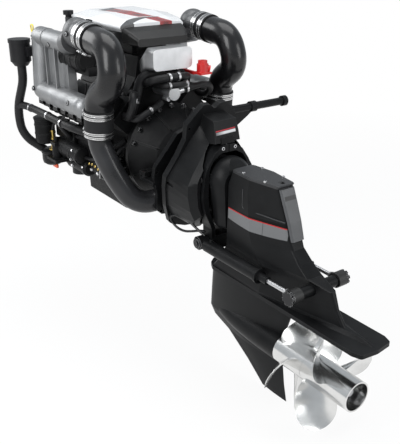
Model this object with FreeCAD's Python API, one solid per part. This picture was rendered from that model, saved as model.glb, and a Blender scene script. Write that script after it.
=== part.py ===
import FreeCAD, Part
import math
import os

# Marine inboard engine with its sterndrive leg and twin contra-rotating propellers.
# Millimetres. +X starboard, +Y forward, +Z up. The origin is where the crankshaft's
# centre line meets the outer face of the boat's raked transom.

V = FreeCAD.Vector

# Clearances and fits
RUN = 0.05
GAP = 0.5

# Transom and the castings bolted to it, drawn upright and then raked
RAKE = 13.0
TRANSOM = 54.0
FLANGE = 24.0
PLATE = 18.0
FLANGE_OUTLINE = [(0, 252), (22, 272), (51, 275), (72, 256), (119, 202), (115, 143), (142, 76),
                  (185, -5), (184, -52), (169, -141), (141, -225), (125, -237), (60, -262), (0, -269)]
PLATE_OUTLINE = [(0, 140), (60, 140), (98, 126), (132, 74), (185, -6), (185, -52), (160, -134),
                 (152, -214), (128, -236), (60, -246), (0, -250)]
BOWL_BASE = [(0, 196), (58, 194), (86, 150), (118, 92), (152, 38), (176, -8), (176, -60), (164, -130),
             (140, -185), (90, -222), (0, -230)]
BOWL_MID = [(0, 124), (56, 122), (76, 110), (106, 69), (138, 22), (161, -20), (162, -62), (150, -125),
            (126, -178), (82, -224), (0, -229)]
BOWL_RIM = [(0, 124), (48, 123), (84, 80), (115, 34), (130, 8), (136, -6), (138, -48), (134, -100),
            (118, -140), (80, -200), (0, -206)]
MID_Y = -132.0
RIM_Y = -160.0
MOUNT_Y = 153.0
PORT_X = 84.0
PORT_Z = -190.0
BOLTS = [(33, 229), (104, 186), (174, -29), (131, -222)]
BOLT_R = 6.5
SPIGOT_R = 82.0
SPIGOT_BORE = 50.0
BOSS_R = 56.0
BOSS_Y = -78.0
BEARING_R = 31.0
EXHAUST_Z = -130.0
EXHAUST_R = 30.0

# Steering and tilt pivot, where the universal joint also sits
PIVOT_Y = -144.0
RING_HALF = 28.0
RING_OUTER = [(0, 125), (28, 124), (64, 101), (96, 55), (108, 27), (115, -12), (121, -66), (108, -130),
              (84, -182), (78, -200), (78, -290), (0, -292)]
RING_INNER = [(0, 97), (34, 97), (68, 78), (84, 54), (92.5, 27), (93.5, -30), (94, -70), (88, -128),
              (68, -172), (60, -200), (60, -234), (0, -234)]
SWEEP = [(0, 127), (60, 127), (80, 105), (106, 56), (116, 28), (122, -12), (128, -66), (115, -132),
         (94, -190), (93, -240), (0, -240)]
SWIVEL_R = 14.0
LOWER_PIN_R = 12.0
HINGE_PIN_R = 13.0
EAR_R = 26.0
EAR_INNER = 72.0
EAR_OUTER = 91.5
DOME_R = 94.0
LEVER_Z = 153.0
LEVER_T = 12.0
LEVER_END = 190.0
STEER_TUBE_Y = 40.0
STEER_TUBE_Z = 186.0

# Universal joint and shafts
INPUT_R = 16.0
CROSS_R = 7.0
CROSS_HALF = 11.0
FORK_IN = 20.0
FORK_OUT = 31.0
FORK_BASE = 36.0
CRANK_R = 30.0
GEAR_R = 38.0
PINION_R = 19.0
VERT_R = 12.0
VERT_Y = -358.0
INNER_SHAFT_R = 14.0
OUTER_SHAFT_R = 20.0

# Drive leg
BELL_FRONT = -156.0
BELL_AFT = -232.0
BELL_BORE = 58.0
COVER_Z = 50.0
COVER_T = 11.0
SPLIT_Z = -345.0
PLATE_Z = -368.0
PLATE_TOP_Z = -353.0
PLATE_HALF = 78.0
PLATE_AFT = -940.0
PROP_Z = -575.0
TORPEDO_R = 57.0
TORPEDO_AFT = -522.0
SKEG_Z = -806.0

# Trim cylinders
TRIM_X = 104.0
TRIM_Z = -257.0
FRONT_PIN_Y = -143.0
AFT_PIN_Y = -662.0
TRIM_PIN_R = 10.0
AFT_PIN_R = 9.0
EYE_R = 27.0
EYE_HALF = 19.0
AFT_BORE_R = 22.5
BARREL_R = 25.0
BARREL_END = 345.0
GLAND_R = 15.0
GLAND_LENGTH = 42.0
ROD_R = 8.0
PISTON_R = 18.0
PISTON_T = 24.0

# Propellers
HUB_R = 57.0
HUB_WALL = 6.0
HUB_GAP = 1.0
FRONT_HUB = 141.0
REAR_HUB = 214.0
PROP_R = 190.0
FRONT_BLADES = 4
REAR_BLADES = 3
BLADE_PITCH = 430.0
BLADE_RADII = [26.0, 62.0, 96.0, 130.0, 158.0, 177.0, PROP_R - 2]
FRONT_CHORDS = [96, 122, 140, 142, 120, 84, 28]
REAR_CHORDS = [104, 138, 160, 160, 134, 92, 30]

# Engine
HOUSING_FRONT = 256.0
BLOCK_FRONT = 776.0
DECK = 190.0
HEAD_H = 80.0
HEAD_HALF = 62.0
HEAD_BACK = 284.0
ROCKER_BACK = 314.0
ROCKER_H = 45.0
ROCKER_HALF = 40.0
PAN_BOTTOM = -287.0
LOG_X = 309.0
LOG_Z = 200.0
LOG_R = 46.0
UPPER_LOG_X = 296.0
UPPER_LOG_Z = 432.0
UPPER_LOG_R = 40.0
MANIFOLD_FRONT = 825.0
MANIFOLD_AFT = 392.0
ELBOW_X = 280.0
PIPE_R = 54.0
HOSE_R = 58.0
CLAMP_W = 11.0
CLAMP_T = 2.5
PULLEY_Y = 880.0
PULLEY_W = 28.0
CRANK_PULLEY_R = 82.0
PUMP_PULLEY_R = 62.0
PUMP_Z = 118.0
ALT_PULLEY_R = 34.0
ALT_X = 178.0
ALT_Z = 300.0
BELT_GAP = 0.8
CAP_X = -198.0
CAP_Y = 702.0
HOOD_UNDER = 484.0
HOOD_BACK = 338.0
INTAKE_BACK = 312.0


# Solid-building helpers

def box(x0, x1, y0, y1, z0, z1):
    return Part.makeBox(x1 - x0, y1 - y0, z1 - z0, V(x0, y0, z0))


def rod(start, end, radius):
    a, b = V(*start), V(*end)
    return Part.makeCylinder(radius, a.distanceToPoint(b), a, b - a)


def sleeve(start, end, outer, inner):
    return rod(start, end, outer).cut(rod(start, end, inner))


def cone(start, end, r0, r1):
    a, b = V(*start), V(*end)
    return Part.makeCone(r0, r1, a.distanceToPoint(b), a, b - a)


def both_sides(points):
    """A half outline from top to bottom at x >= 0, made whole about x = 0."""
    other = [(-x, z) for x, z in reversed(points) if x > 0]
    return points + other


def rounded(points, radius):
    """Closed wire through 3-D corner points, each corner an arc of about the radius."""
    edges = []
    starts = []
    ends = []
    count = len(points)
    for i in range(count):
        before, corner, after = points[i - 1], points[i], points[(i + 1) % count]
        back = (before - corner)
        ahead = (after - corner)
        limit = 0.45 * min(back.Length, ahead.Length)
        back.normalize()
        ahead.normalize()
        half = back.getAngle(ahead) / 2
        if half > 1.55:
            starts.append(corner)
            ends.append(corner)
            edges.append(None)
            continue
        reach = min(radius / math.tan(half), limit)
        r = reach * math.tan(half)
        p = corner + back * reach
        q = corner + ahead * reach
        middle = back + ahead
        middle.normalize()
        m = corner + middle * (r / math.sin(half) - r)
        starts.append(p)
        ends.append(q)
        edges.append(Part.Arc(p, m, q).toShape())
    lines = []
    for i in range(count):
        if edges[i]:
            lines.append(edges[i])
        a, b = ends[i], starts[(i + 1) % count]
        if a.distanceToPoint(b) > 1e-6:
            lines.append(Part.LineSegment(a, b).toShape())
    return Part.Wire(lines)


def slab_y(points, y0, y1, radius=0):
    """Outline of (x, z) points carried from y0 to y1."""
    corners = [V(x, y0, z) for x, z in points]
    wire = rounded(corners, radius) if radius else Part.makePolygon(corners + corners[:1])
    return Part.Face(wire).extrude(V(0, y1 - y0, 0))


def slab_x(points, x0, x1, radius=0):
    """Outline of (y, z) points carried from x0 to x1."""
    corners = [V(x0, y, z) for y, z in points]
    wire = rounded(corners, radius) if radius else Part.makePolygon(corners + corners[:1])
    return Part.Face(wire).extrude(V(x1 - x0, 0, 0))


def slab_z(points, z0, z1, radius=0):
    """Outline of (x, y) points carried from z0 to z1."""
    corners = [V(x, y, z0) for x, y in points]
    wire = rounded(corners, radius) if radius else Part.makePolygon(corners + corners[:1])
    return Part.Face(wire).extrude(V(0, 0, z1 - z0))


def loft(wires, ruled=False):
    return Part.makeLoft(wires, True, ruled)


def turned(profile, z=0.0):
    """Solid turned about a fore-and-aft axis from (y, radius) points."""
    corners = [V(0, y, z + r) for y, r in profile]
    corners = [V(0, profile[0][0], z)] + corners + [V(0, profile[-1][0], z)]
    face = Part.Face(Part.makePolygon(corners + corners[:1]))
    return face.revolve(V(0, 0, z), V(0, 1, 0), 360)


def turned_spline(profile, z=0.0):
    """As turned, with one smooth curve through the (y, radius) points."""
    points = [V(0, y, z + r) for y, r in profile]
    curve = Part.BSplineCurve()
    curve.interpolate(points)
    a, b = V(0, points[0].y, z), V(0, points[-1].y, z)
    edges = [curve.toShape(), Part.LineSegment(points[-1], b).toShape(), Part.LineSegment(b, a).toShape()]
    if points[0].distanceToPoint(a) > 1e-6:
        edges.append(Part.LineSegment(a, points[0]).toShape())
    return Part.Face(Part.Wire(edges)).revolve(V(0, 0, z), V(0, 1, 0), 360)


def pipe(points, radius, bend=0.45):
    """Round tube of straight runs joined by tangent bends; a corner too tight to bend gets a ball."""
    points = [V(*p) for p in points]
    pieces = []
    last = points[0]
    for i in range(1, len(points) - 1):
        corner = points[i]
        back = points[i - 1] - corner
        ahead = points[i + 1] - corner
        reach = bend * min(back.Length, ahead.Length)
        back.normalize()
        ahead.normalize()
        half = back.getAngle(ahead) / 2
        sweep = reach * math.tan(half)
        if sweep < radius * 1.05:
            pieces += [rod(last, corner, radius), Part.makeSphere(radius, corner)]
            last = corner
            continue
        start = corner + back * reach
        middle = back + ahead
        middle.normalize()
        centre = corner + middle * (sweep / math.sin(half))
        disc = Part.Face(Part.Wire(Part.Circle(start, back, radius).toShape()))
        axis = (start - centre).cross(back * -1)
        pieces += [rod(last, start, radius), disc.revolve(centre, axis, 180 - 2 * math.degrees(half))]
        last = corner + ahead * reach
    pieces.append(rod(last, points[-1], radius))
    return joined(pieces)


def mirrored(shape):
    return shape.mirror(V(0, 0, 0), V(1, 0, 0))


def pair(shape):
    return [shape, mirrored(shape)]


def joined(shapes):
    shapes = list(shapes)
    whole = shapes[0].fuse(shapes[1:]) if len(shapes) > 1 else shapes[0]
    return whole.removeSplitter()


def write(name, shapes):
    if not isinstance(shapes, (list, tuple)):
        shapes = [shapes]
    solids = []
    for shape in shapes:
        solids.extend(shape.Solids)
    bad = [i for i, s in enumerate(solids) if not s.isValid() or s.Volume <= 0]
    whole = solids[0] if len(solids) == 1 else Part.makeCompound(solids)
    box_now = whole.BoundBox
    print("%-24s solids %2d  x %5d..%-5d y %5d..%-5d z %5d..%-5d %s" % (
        name, len(solids), box_now.XMin, box_now.XMax, box_now.YMin, box_now.YMax,
        box_now.ZMin, box_now.ZMax, "BAD %s" % bad if bad else ""))
    whole.exportStep("parts/%s.step" % name)


# Transom castings

def raked(shape):
    shape.rotate(V(0, 0, 0), V(1, 0, 0), RAKE)
    return shape


def rake_point(x, y, z):
    c, s = math.cos(math.radians(RAKE)), math.sin(math.radians(RAKE))
    return V(x, y * c - z * s, y * s + z * c)


def bolt_holes(y0, y1):
    holes = []
    for x, z in BOLTS:
        for sx in (-1, 1):
            holes.append(raked(rod((sx * x, y0, z), (sx * x, y1, z), BOLT_R)))
    return holes


def bowl():
    """Flared cup between the raked flange and the upright rim around the ring."""
    base = rounded([rake_point(x, 2 - FLANGE, z) for x, z in both_sides(BOWL_BASE)], 8)
    middle = rounded([V(x, MID_Y, z) for x, z in both_sides(BOWL_MID)], 8)
    rim = rounded([V(x, RIM_Y, z) for x, z in both_sides(BOWL_RIM)], 8)
    cup = loft([base, middle, rim], True)
    return cup.cut(slab_x([(RIM_Y - 20, -120), (-60, -236), (-60, -300), (RIM_Y - 20, -300)], -200, 200))


def lever_house():
    """Hollow box over the steering lever."""
    side = slab_x([(-20, 126), (-120, 126), (-163, 133), (-157, 168), (-143, 212), (-96, 221), (-20, 238)], -70, 70)
    low = rounded([V(x, y, 120) for x, y in ((-59, -170), (59, -170), (59, 0), (-59, 0))], 6)
    high = rounded([V(x, y, 245) for x, y in ((-49, -170), (49, -170), (49, 0), (-49, 0))], 6)
    outer = loft([low, high], True).common(side)
    ahead_of_face = raked(box(-80, 80, -12, 60, 60, 300))
    return outer.cut(ahead_of_face)


def lever_slot():
    back = PIVOT_Y - 11
    return slab_z([(-14, back), (14, back), (52, -64), (66, -30), (66, 20), (-66, 20), (-66, -30), (-52, -64)],
                  LEVER_Z - 1.5, LEVER_Z + LEVER_T + 1.5)


def ring_sweep():
    """Room for the steering ring to turn about the upright axis."""
    corners = [V(r, PIVOT_Y, z) for r, z in SWEEP]
    return Part.Face(Part.makePolygon(corners + corners[:1])).revolve(V(0, PIVOT_Y, 0), V(0, 0, 1), 360)


def gimbal_housing():
    flange = raked(slab_y(both_sides(FLANGE_OUTLINE), -FLANGE, 0, 10))
    shell = joined([flange, bowl(), lever_house()])
    shell = shell.cut([ring_sweep(), lever_slot(), box(-68, 68, RIM_Y - 10, RIM_Y + 9, 100, 132)])
    tongue = box(-30, 30, PIVOT_Y - SWIVEL_R - 8, -60, 128, 150)
    arm = box(-24, 24, PIVOT_Y - LOWER_PIN_R - 8, 10, -231, -205.5)
    boss = rod((0, BOSS_Y, 0), (0, -10, 0), BOSS_R)
    outlet = rod((0, -62, EXHAUST_Z), (0, 10, EXHAUST_Z), EXHAUST_R + 8)
    spigot = raked(rod((0, -10, 0), (0, TRANSOM, 0), SPIGOT_R))
    tubes = [raked(rod((sx * PORT_X, -8, PORT_Z), (sx * PORT_X, TRANSOM, PORT_Z), 46)) for sx in (-1, 1)]
    body = joined([shell, tongue, arm, boss, outlet, spigot] + tubes)
    cuts = [rod((0, BOSS_Y - 1, 0), (0, -50, 0), BEARING_R), rod((0, -54, 0), (0, 140, 0), SPIGOT_BORE),
            rod((0, -63, EXHAUST_Z), (0, 6, EXHAUST_Z), EXHAUST_R),
            rod((0, PIVOT_Y, 120), (0, PIVOT_Y, LEVER_Z), SWIVEL_R + RUN),
            rod((0, PIVOT_Y, -250), (0, PIVOT_Y, -204), LOWER_PIN_R + RUN)]
    for sx in (-1, 1):
        cuts.append(raked(rod((sx * PORT_X, -10, PORT_Z), (sx * PORT_X, TRANSOM + 1, PORT_Z), 38)))
        cuts.append(rod((sx * 78, 40, -178), (0, 2, EXHAUST_Z), EXHAUST_R - 4))
    return largest(body.cut(cuts + bolt_holes(-60, 1)))


def gimbal_bearing():
    return sleeve((0, BOSS_Y + 2, 0), (0, -54, 0), BEARING_R, INPUT_R + RUN)


def inner_transom_plate():
    plate = raked(slab_y(both_sides(PLATE_OUTLINE), TRANSOM, TRANSOM + PLATE, 10))
    ledges = []
    for sx in (-1, 1):
        low, high = sorted((sx * 147, sx * 186))
        ledges.append(box(low, high, 66, 172, -72, -58))
        low, high = sorted((sx * 150, sx * 162))
        ledges.append(slab_x([(76, -118), (76, -70), (146, -70)], low, high))
    plate = joined([plate] + ledges)
    cuts = [raked(rod((0, TRANSOM - 1, 0), (0, TRANSOM + PLATE + 1, 0), SPIGOT_BORE))]
    for sx in (-1, 1):
        cuts.append(raked(rod((sx * PORT_X, TRANSOM - 1, PORT_Z), (sx * PORT_X, TRANSOM + PLATE + 1, PORT_Z), 38)))
        cuts.append(rod((sx * 168, MOUNT_Y, -80), (sx * 168, MOUNT_Y, -50), BOLT_R))
    under = raked(box(-400, 400, 0, TRANSOM, -400, 400))
    return plate.cut([under] + cuts + bolt_holes(TRANSOM - 1, TRANSOM + PLATE + 1))


# Steering

def gimbal_ring():
    y0, y1 = PIVOT_Y - RING_HALF, PIVOT_Y + RING_HALF
    ring = slab_y(both_sides(RING_OUTER), y0, y1, 14)
    ring = ring.cut(slab_y(both_sides(RING_INNER), y0 - 1, y1 + 1, 10))
    reach = TRIM_X - EYE_HALF - GAP
    ring = joined([ring, rod((-reach, FRONT_PIN_Y, TRIM_Z), (-70, FRONT_PIN_Y, TRIM_Z), 20),
                   rod((70, FRONT_PIN_Y, TRIM_Z), (reach, FRONT_PIN_Y, TRIM_Z), 20)])
    cuts = [rod((-140, FRONT_PIN_Y, TRIM_Z), (140, FRONT_PIN_Y, TRIM_Z), TRIM_PIN_R),
            rod((0, PIVOT_Y, 90), (0, PIVOT_Y, 130), SWIVEL_R),
            rod((0, PIVOT_Y, TRIM_Z + TRIM_PIN_R + 1), (0, PIVOT_Y, -230), LOWER_PIN_R),
            rod((-140, PIVOT_Y, 0), (140, PIVOT_Y, 0), HINGE_PIN_R),
            box(-2, 2, y0 - 1, PIVOT_Y, 90, 130)]
    return ring.cut(cuts)


def pivot_pins():
    upper = rod((0, PIVOT_Y, 98), (0, PIVOT_Y, LEVER_Z - 0.5), SWIVEL_R)
    upper = upper.fuse(rod((0, PIVOT_Y, LEVER_Z - 1), (0, PIVOT_Y, LEVER_Z + LEVER_T), 6))
    lower = rod((0, PIVOT_Y, TRIM_Z + TRIM_PIN_R + 2), (0, PIVOT_Y, -207), LOWER_PIN_R)
    hinges = [rod((sx * (EAR_INNER + 1), PIVOT_Y, 0), (sx * 118, PIVOT_Y, 0), HINGE_PIN_R) for sx in (-1, 1)]
    return [upper.removeSplitter(), lower] + hinges


def steering_lever():
    end = PIVOT_Y + LEVER_END
    top = LEVER_Z + LEVER_T
    hub = rod((0, PIVOT_Y, LEVER_Z), (0, PIVOT_Y, top), 10.5)
    arm = slab_z([(-9, PIVOT_Y), (-9, end), (9, end), (9, PIVOT_Y)], LEVER_Z, top)
    eye = rod((0, end, LEVER_Z), (0, end, top), 11)
    pin = rod((0, end, LEVER_Z), (0, end, STEER_TUBE_Z + 8), 5)
    return joined([hub, arm, eye, pin]).cut(rod((0, PIVOT_Y, LEVER_Z - 1), (0, PIVOT_Y, top + 1), 6))


def steering_rod():
    """Sliding rod with a slotted eye for the pin of the steering lever."""
    z0, z1 = STEER_TUBE_Z - 8, STEER_TUBE_Z + 4
    centre = PIVOT_Y + LEVER_END - 10
    eye = slab_z([(-15, centre - 24), (15, centre - 24), (15, centre + 24), (-15, centre + 24)], z0, z1, 6)
    slot = box(-6.6, 6.6, centre - 17, centre + 17, z0 - 1, z1 + 1)
    shaft = rod((14, STEER_TUBE_Y, STEER_TUBE_Z), (370, STEER_TUBE_Y, STEER_TUBE_Z), 8)
    return joined([eye, shaft]).cut(slot)


def steering_tube():
    y, z = STEER_TUBE_Y, STEER_TUBE_Z
    tube = rod((150, y, z), (469, y, z), 16)
    collars = [rod((a, y, z), (b, y, z), 22) for a, b in ((150, 176), (272, 300), (448, 469))]
    bracket = slab_y([(96, 118), (100, 98), (140, 60), (262, 150), (290, 176), (290, 200), (150, 200)], 26, 48, 8)
    foot = raked(slab_y([(98, 124), (102, 98), (132, 76), (156, 106)], TRANSOM + PLATE, TRANSOM + PLATE + 14, 4))
    front = raked(box(-400, 400, -200, TRANSOM + PLATE, -400, 400))
    body = joined([tube, bracket.cut(front), foot] + collars)
    return largest(body.cut(rod((60, y, z), (480, y, z), 8 + RUN)))


def front_anchor_pin():
    reach = TRIM_X + EYE_HALF + GAP
    pin = rod((-reach - 5, FRONT_PIN_Y, TRIM_Z), (reach + 5, FRONT_PIN_Y, TRIM_Z), TRIM_PIN_R)
    caps = []
    for sx in (-1, 1):
        caps.append(cone((sx * reach, FRONT_PIN_Y, TRIM_Z), (sx * (reach + 7), FRONT_PIN_Y, TRIM_Z), 24, 20))
        caps.append(rod((sx * reach, FRONT_PIN_Y, TRIM_Z), (sx * (reach + 11), FRONT_PIN_Y, TRIM_Z), 11))
    return joined([pin] + caps)


# Universal joint and shafts

def yoke(direction, across):
    """Fork from the pivot towards +Y or -Y with its two tines on the X or the Z axis."""
    y_base = PIVOT_Y + direction * FORK_BASE
    base = rod((0, y_base, 0), (0, y_base + direction * 12, 0), FORK_OUT)
    tines = []
    for low, high in ((-FORK_OUT, -FORK_IN), (FORK_IN, FORK_OUT)):
        ya, yb = sorted((PIVOT_Y, y_base + direction * 2))
        if across == "x":
            tines.append(box(low, high, ya, yb, -13, 13))
            tines.append(rod((low, PIVOT_Y, 0), (high, PIVOT_Y, 0), 13))
        else:
            tines.append(box(-13, 13, ya, yb, low, high))
            tines.append(rod((0, PIVOT_Y, low), (0, PIVOT_Y, high), 13))
    if across == "x":
        bore = rod((-60, PIVOT_Y, 0), (60, PIVOT_Y, 0), CROSS_R + RUN)
    else:
        bore = rod((0, PIVOT_Y, -60), (0, PIVOT_Y, 60), CROSS_R + RUN)
    return joined([base] + tines).cut(bore)


def front_yoke():
    shaft = rod((0, PIVOT_Y + FORK_BASE + 11, 0), (0, 219, 0), INPUT_R)
    return joined([yoke(1, "x"), shaft])


def joint_cross():
    """Cross whose long arms turn in the rear fork, and whose short ones swing free in the front one."""
    short = math.sqrt(FORK_IN ** 2 - CROSS_R ** 2) - 2 * GAP
    arms = [rod((-short, PIVOT_Y, 0), (short, PIVOT_Y, 0), CROSS_R),
            rod((0, PIVOT_Y, -FORK_OUT), (0, PIVOT_Y, FORK_OUT), CROSS_R)]
    c = CROSS_HALF
    return joined(arms + [box(-c, c, PIVOT_Y - c, PIVOT_Y + c, -c, c)])


def bevel(at, axis, near, far, slope, back):
    """Bevel wheel blank on its pitch cone, between two distances from the cone's apex."""
    def point(d):
        return (at[0] + axis[0] * d, at[1] + axis[1] * d, at[2] + axis[2] * d)
    face = cone(point(near), point(far), near * slope - 0.4, far * slope - 0.4)
    rear = cone(point(far), point(far + back), far * slope - 0.4, far * slope - 3.4)
    return [face, rear]


def input_shaft():
    shaft = rod((0, PIVOT_Y - FORK_BASE - 11, 0), (0, VERT_Y + 34, 0), INPUT_R)
    return joined([yoke(-1, "z"), shaft] + bevel((0, VERT_Y, 0), (0, 1, 0), 24, 34, 1.0, 10))


def vertical_shaft():
    top_gear = bevel((0, VERT_Y, 0), (0, 0, -1), 24, 34, 1.0, 10)
    pinion = bevel((0, VERT_Y, PROP_Z), (0, 0, 1), 28, GEAR_R, PINION_R / GEAR_R, 8)
    shaft = rod((0, VERT_Y, PROP_Z + 30), (0, VERT_Y, -26), VERT_R)
    return joined(top_gear + pinion + [shaft])


# Drive leg

def arch(y, radius, centre, bottom, low_half, foot=18.0):
    """Bell section: a half round on top and sides that draw in to a rounded foot."""
    bend = foot * (1 - math.sqrt(0.5))
    right, left = V(radius, y, centre), V(-radius, y, centre)
    edges = [Part.Arc(left, V(0, y, centre + radius), right).toShape(),
             Part.LineSegment(right, V(low_half, y, bottom + foot)).toShape(),
             Part.Arc(V(low_half, y, bottom + foot), V(low_half - bend, y, bottom + bend),
                      V(low_half - foot, y, bottom)).toShape(),
             Part.LineSegment(V(low_half - foot, y, bottom), V(foot - low_half, y, bottom)).toShape(),
             Part.Arc(V(foot - low_half, y, bottom), V(bend - low_half, y, bottom + bend),
                      V(-low_half, y, bottom + foot)).toShape(),
             Part.LineSegment(V(-low_half, y, bottom + foot), left).toShape()]
    return Part.Wire(edges)


def bell_housing():
    shell = loft([arch(BELL_FRONT, 84, -6, -190, 60), arch(-178, 88, -6, -192, 64),
                  arch(-206, 82, -8, -190, 63), arch(BELL_AFT, 66, -14, -186, 58)])
    dome = rod((-120, PIVOT_Y, 0), (120, PIVOT_Y, 0), DOME_R)
    shell = shell.common(dome.fuse(box(-120, 120, -300, 0, -300, 0)))
    ears = []
    for sx in (-1, 1):
        low, high = sorted((sx * EAR_INNER, sx * EAR_OUTER))
        ears.append(rod((low, PIVOT_Y, 0), (high, PIVOT_Y, 0), EAR_R))
        low, high = sorted((sx * EAR_INNER, sx * 86))
        ears.append(box(low, high, -178, PIVOT_Y, -EAR_R, EAR_R))
    body = joined([shell] + ears)
    cuts = [rod((0, -100, 0), (0, -200, 0), BELL_BORE), rod((0, -190, 0), (0, BELL_AFT - 1, 0), INPUT_R + RUN),
            rod((-130, PIVOT_Y, 0), (130, PIVOT_Y, 0), HINGE_PIN_R + RUN),
            rod((0, -100, EXHAUST_Z), (0, BELL_AFT - 1, EXHAUST_Z), EXHAUST_R - 2)]
    return largest(body.cut(cuts))


def leg_section(z, front, rear, half_front, half_mid, half_rear, corner=12.0):
    middle = front + 0.45 * (rear - front)
    points = [V(half_front, front, z), V(half_mid, middle, z), V(half_rear, rear, z),
              V(-half_rear, rear, z), V(-half_mid, middle, z), V(-half_front, front, z)]
    return rounded(points, corner)


LEG_ROWS = [(COVER_Z, -250, -486, 48, 56, 37), (0, -233, -505, 54, 60, 35), (-60, -233, -530, 55, 64, 33),
            (-122, -233, -551, 57, 66, 31), (-152, -233, -566, 58, 67, 28), (-190, -233, -606, 58, 68, 32),
            (-222, -233, -652, 58, 68, 34), (-240, -233, -738, 58, 68, 13), (-298, -210, -764, 62, 70, 9),
            (SPLIT_Z, -172, -800, 68, 76, 9)]


def upper_housing():
    body = loft([leg_section(*row) for row in LEG_ROWS], True)
    boss = rod((-80, AFT_PIN_Y, TRIM_Z), (80, AFT_PIN_Y, TRIM_Z), 21)
    body = joined([body, boss])
    cuts = [rod((0, VERT_Y, -52), (0, VERT_Y, COVER_Z + 5), 44),
            rod((0, BELL_AFT + 1, 0), (0, VERT_Y, 0), INPUT_R + RUN), rod((0, VERT_Y + 48, 0), (0, VERT_Y, 0), 36),
            rod((0, VERT_Y, SPLIT_Z - 1), (0, VERT_Y, -50), VERT_R + RUN),
            rod((-90, AFT_PIN_Y, TRIM_Z), (90, AFT_PIN_Y, TRIM_Z), AFT_PIN_R),
            rod((0, BELL_AFT + 1, EXHAUST_Z), (0, -262, EXHAUST_Z), EXHAUST_R - 2)]
    return body.cut(cuts)


def top_cover():
    top = COVER_Z + COVER_T
    rows = [(COVER_Z, -250, -486, 48, 56, 37), (top - 3, -252, -490, 49, 58, 38), (top, -256, -487, 45, 55, 36)]
    cover = loft([leg_section(*row) for row in rows], True)
    return cover.cut(box(-7, 7, -476, -462, top - 5, top + 5))


def rear_cover():
    """Rounded cover down the back of the leg and the curved blade beneath it."""
    def band(z, y, half, depth):
        return rounded([V(-half, y, z), V(-half * 0.8, y - depth, z), V(half * 0.8, y - depth, z), V(half, y, z)], 6)
    upper = loft([band(COVER_Z - 2, -486.5, 36, 9), (band(0, -505.5, 35, 12)), band(-60, -530.5, 33, 13),
                  band(-121, -551.5, 31, 12)], True)
    upper = upper.cut(loft([leg_section(*row) for row in LEG_ROWS[:5]], True))
    return upper


def foil(z, lead, trail, half):
    """Streamlined section of the leg at one height."""
    chord = lead - trail
    stations = [(0.0, 0.0), (0.02, 0.42), (0.12, 0.84), (0.36, 1.0), (0.72, 0.66), (1.0, 0.10)]
    side = [V(half * w, lead - chord * s, z) for s, w in stations]
    right, left = Part.BSplineCurve(), Part.BSplineCurve()
    right.interpolate(side)
    left.interpolate([V(-p.x, p.y, p.z) for p in reversed(side)])
    close = Part.LineSegment(side[-1], V(-side[-1].x, side[-1].y, z)).toShape()
    return Part.Wire([right.toShape(), close, left.toShape()])


def lower_gearcase():
    rows = [(PLATE_Z + 2, -98, -556, 40), (-440, -90, -545, 38), (-516, -84, -521, 36), (-585, -78, -521, 33),
            (-620, -98, -521, 23), (-655, -190, -521, 14), (-735, -318, -534, 8), (SKEG_Z, -412, -552, 4)]
    strut = loft([foil(*row) for row in rows], True)
    torpedo = turned_spline([(-112, 0.0), (-126, 16), (-170, 33), (-240, 46), (-330, 54),
                             (-420, TORPEDO_R), (TORPEDO_AFT, TORPEDO_R)], PROP_Z)
    half_plate = [(0, -118), (34, -126), (62, -148), (PLATE_HALF, -178), (PLATE_HALF, -900), (66, -932), (0, PLATE_AFT)]
    outline = half_plate + [(-x, y) for x, y in reversed(half_plate) if x > 0]
    plate = slab_z(outline, PLATE_Z, PLATE_TOP_Z, 10)
    deck = loft([leg_section(SPLIT_Z, -172, -800, 68, 76, 9), leg_section(PLATE_TOP_Z - 1, -166, -804, 71, 77, 12)], True)
    spine = loft([rounded([V(36, -640, PLATE_TOP_Z - 1), V(36, -760, PLATE_TOP_Z - 1), V(5, -925, PLATE_TOP_Z - 1),
                           V(-5, -925, PLATE_TOP_Z - 1), V(-36, -760, PLATE_TOP_Z - 1), V(-36, -640, PLATE_TOP_Z - 1)], 3),
                  rounded([V(14, -680, SPLIT_Z), V(14, -770, SPLIT_Z), V(3, -880, SPLIT_Z),
                           V(-3, -880, SPLIT_Z), V(-14, -770, SPLIT_Z), V(-14, -680, SPLIT_Z)], 2)], True)
    body = joined([strut, torpedo, plate, deck, spine])
    cuts = [rod((0, VERT_Y - 50, PROP_Z), (0, VERT_Y + 50, PROP_Z), 43),
            rod((0, VERT_Y - 40, PROP_Z), (0, TORPEDO_AFT - 1, PROP_Z), OUTER_SHAFT_R + RUN),
            rod((0, VERT_Y + 48, PROP_Z), (0, VERT_Y + 80, PROP_Z), INNER_SHAFT_R + RUN),
            rod((0, VERT_Y, PROP_Z), (0, VERT_Y, SPLIT_Z + 1), VERT_R + RUN),
            rod((0, VERT_Y, PROP_Z), (0, VERT_Y, PROP_Z + GEAR_R + 12), PINION_R + 4)]
    return largest(body.cut(cuts))


def trim_anode():
    """Diamond-shaped anode under the aft end of the plate."""
    return slab_z([(0, -770), (26, -830), (0, -898), (-26, -830)], PLATE_Z - 14, PLATE_Z, 4)


def aft_anchor_pin():
    inner, outer = TRIM_X - EYE_HALF - 1, TRIM_X + EYE_HALF + 1
    pin = rod((-outer - 4, AFT_PIN_Y, TRIM_Z), (outer + 4, AFT_PIN_Y, TRIM_Z), AFT_PIN_R)
    caps = []
    for sx in (-1, 1):
        cap = rod((sx * outer, AFT_PIN_Y, TRIM_Z), (sx * (outer + 10), AFT_PIN_Y, TRIM_Z), 27)
        notches = []
        for i in range(8):
            y = AFT_PIN_Y + 27 * math.cos(math.radians(45 * i))
            z = TRIM_Z + 27 * math.sin(math.radians(45 * i))
            notches.append(rod((sx * (outer + 3), y, z), (sx * (outer + 11), y, z), 5))
        caps.append(cap.cut(notches))
        caps.append(rod((sx * 80, AFT_PIN_Y, TRIM_Z), (sx * inner, AFT_PIN_Y, TRIM_Z), 15))
    return joined([pin] + caps)


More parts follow.
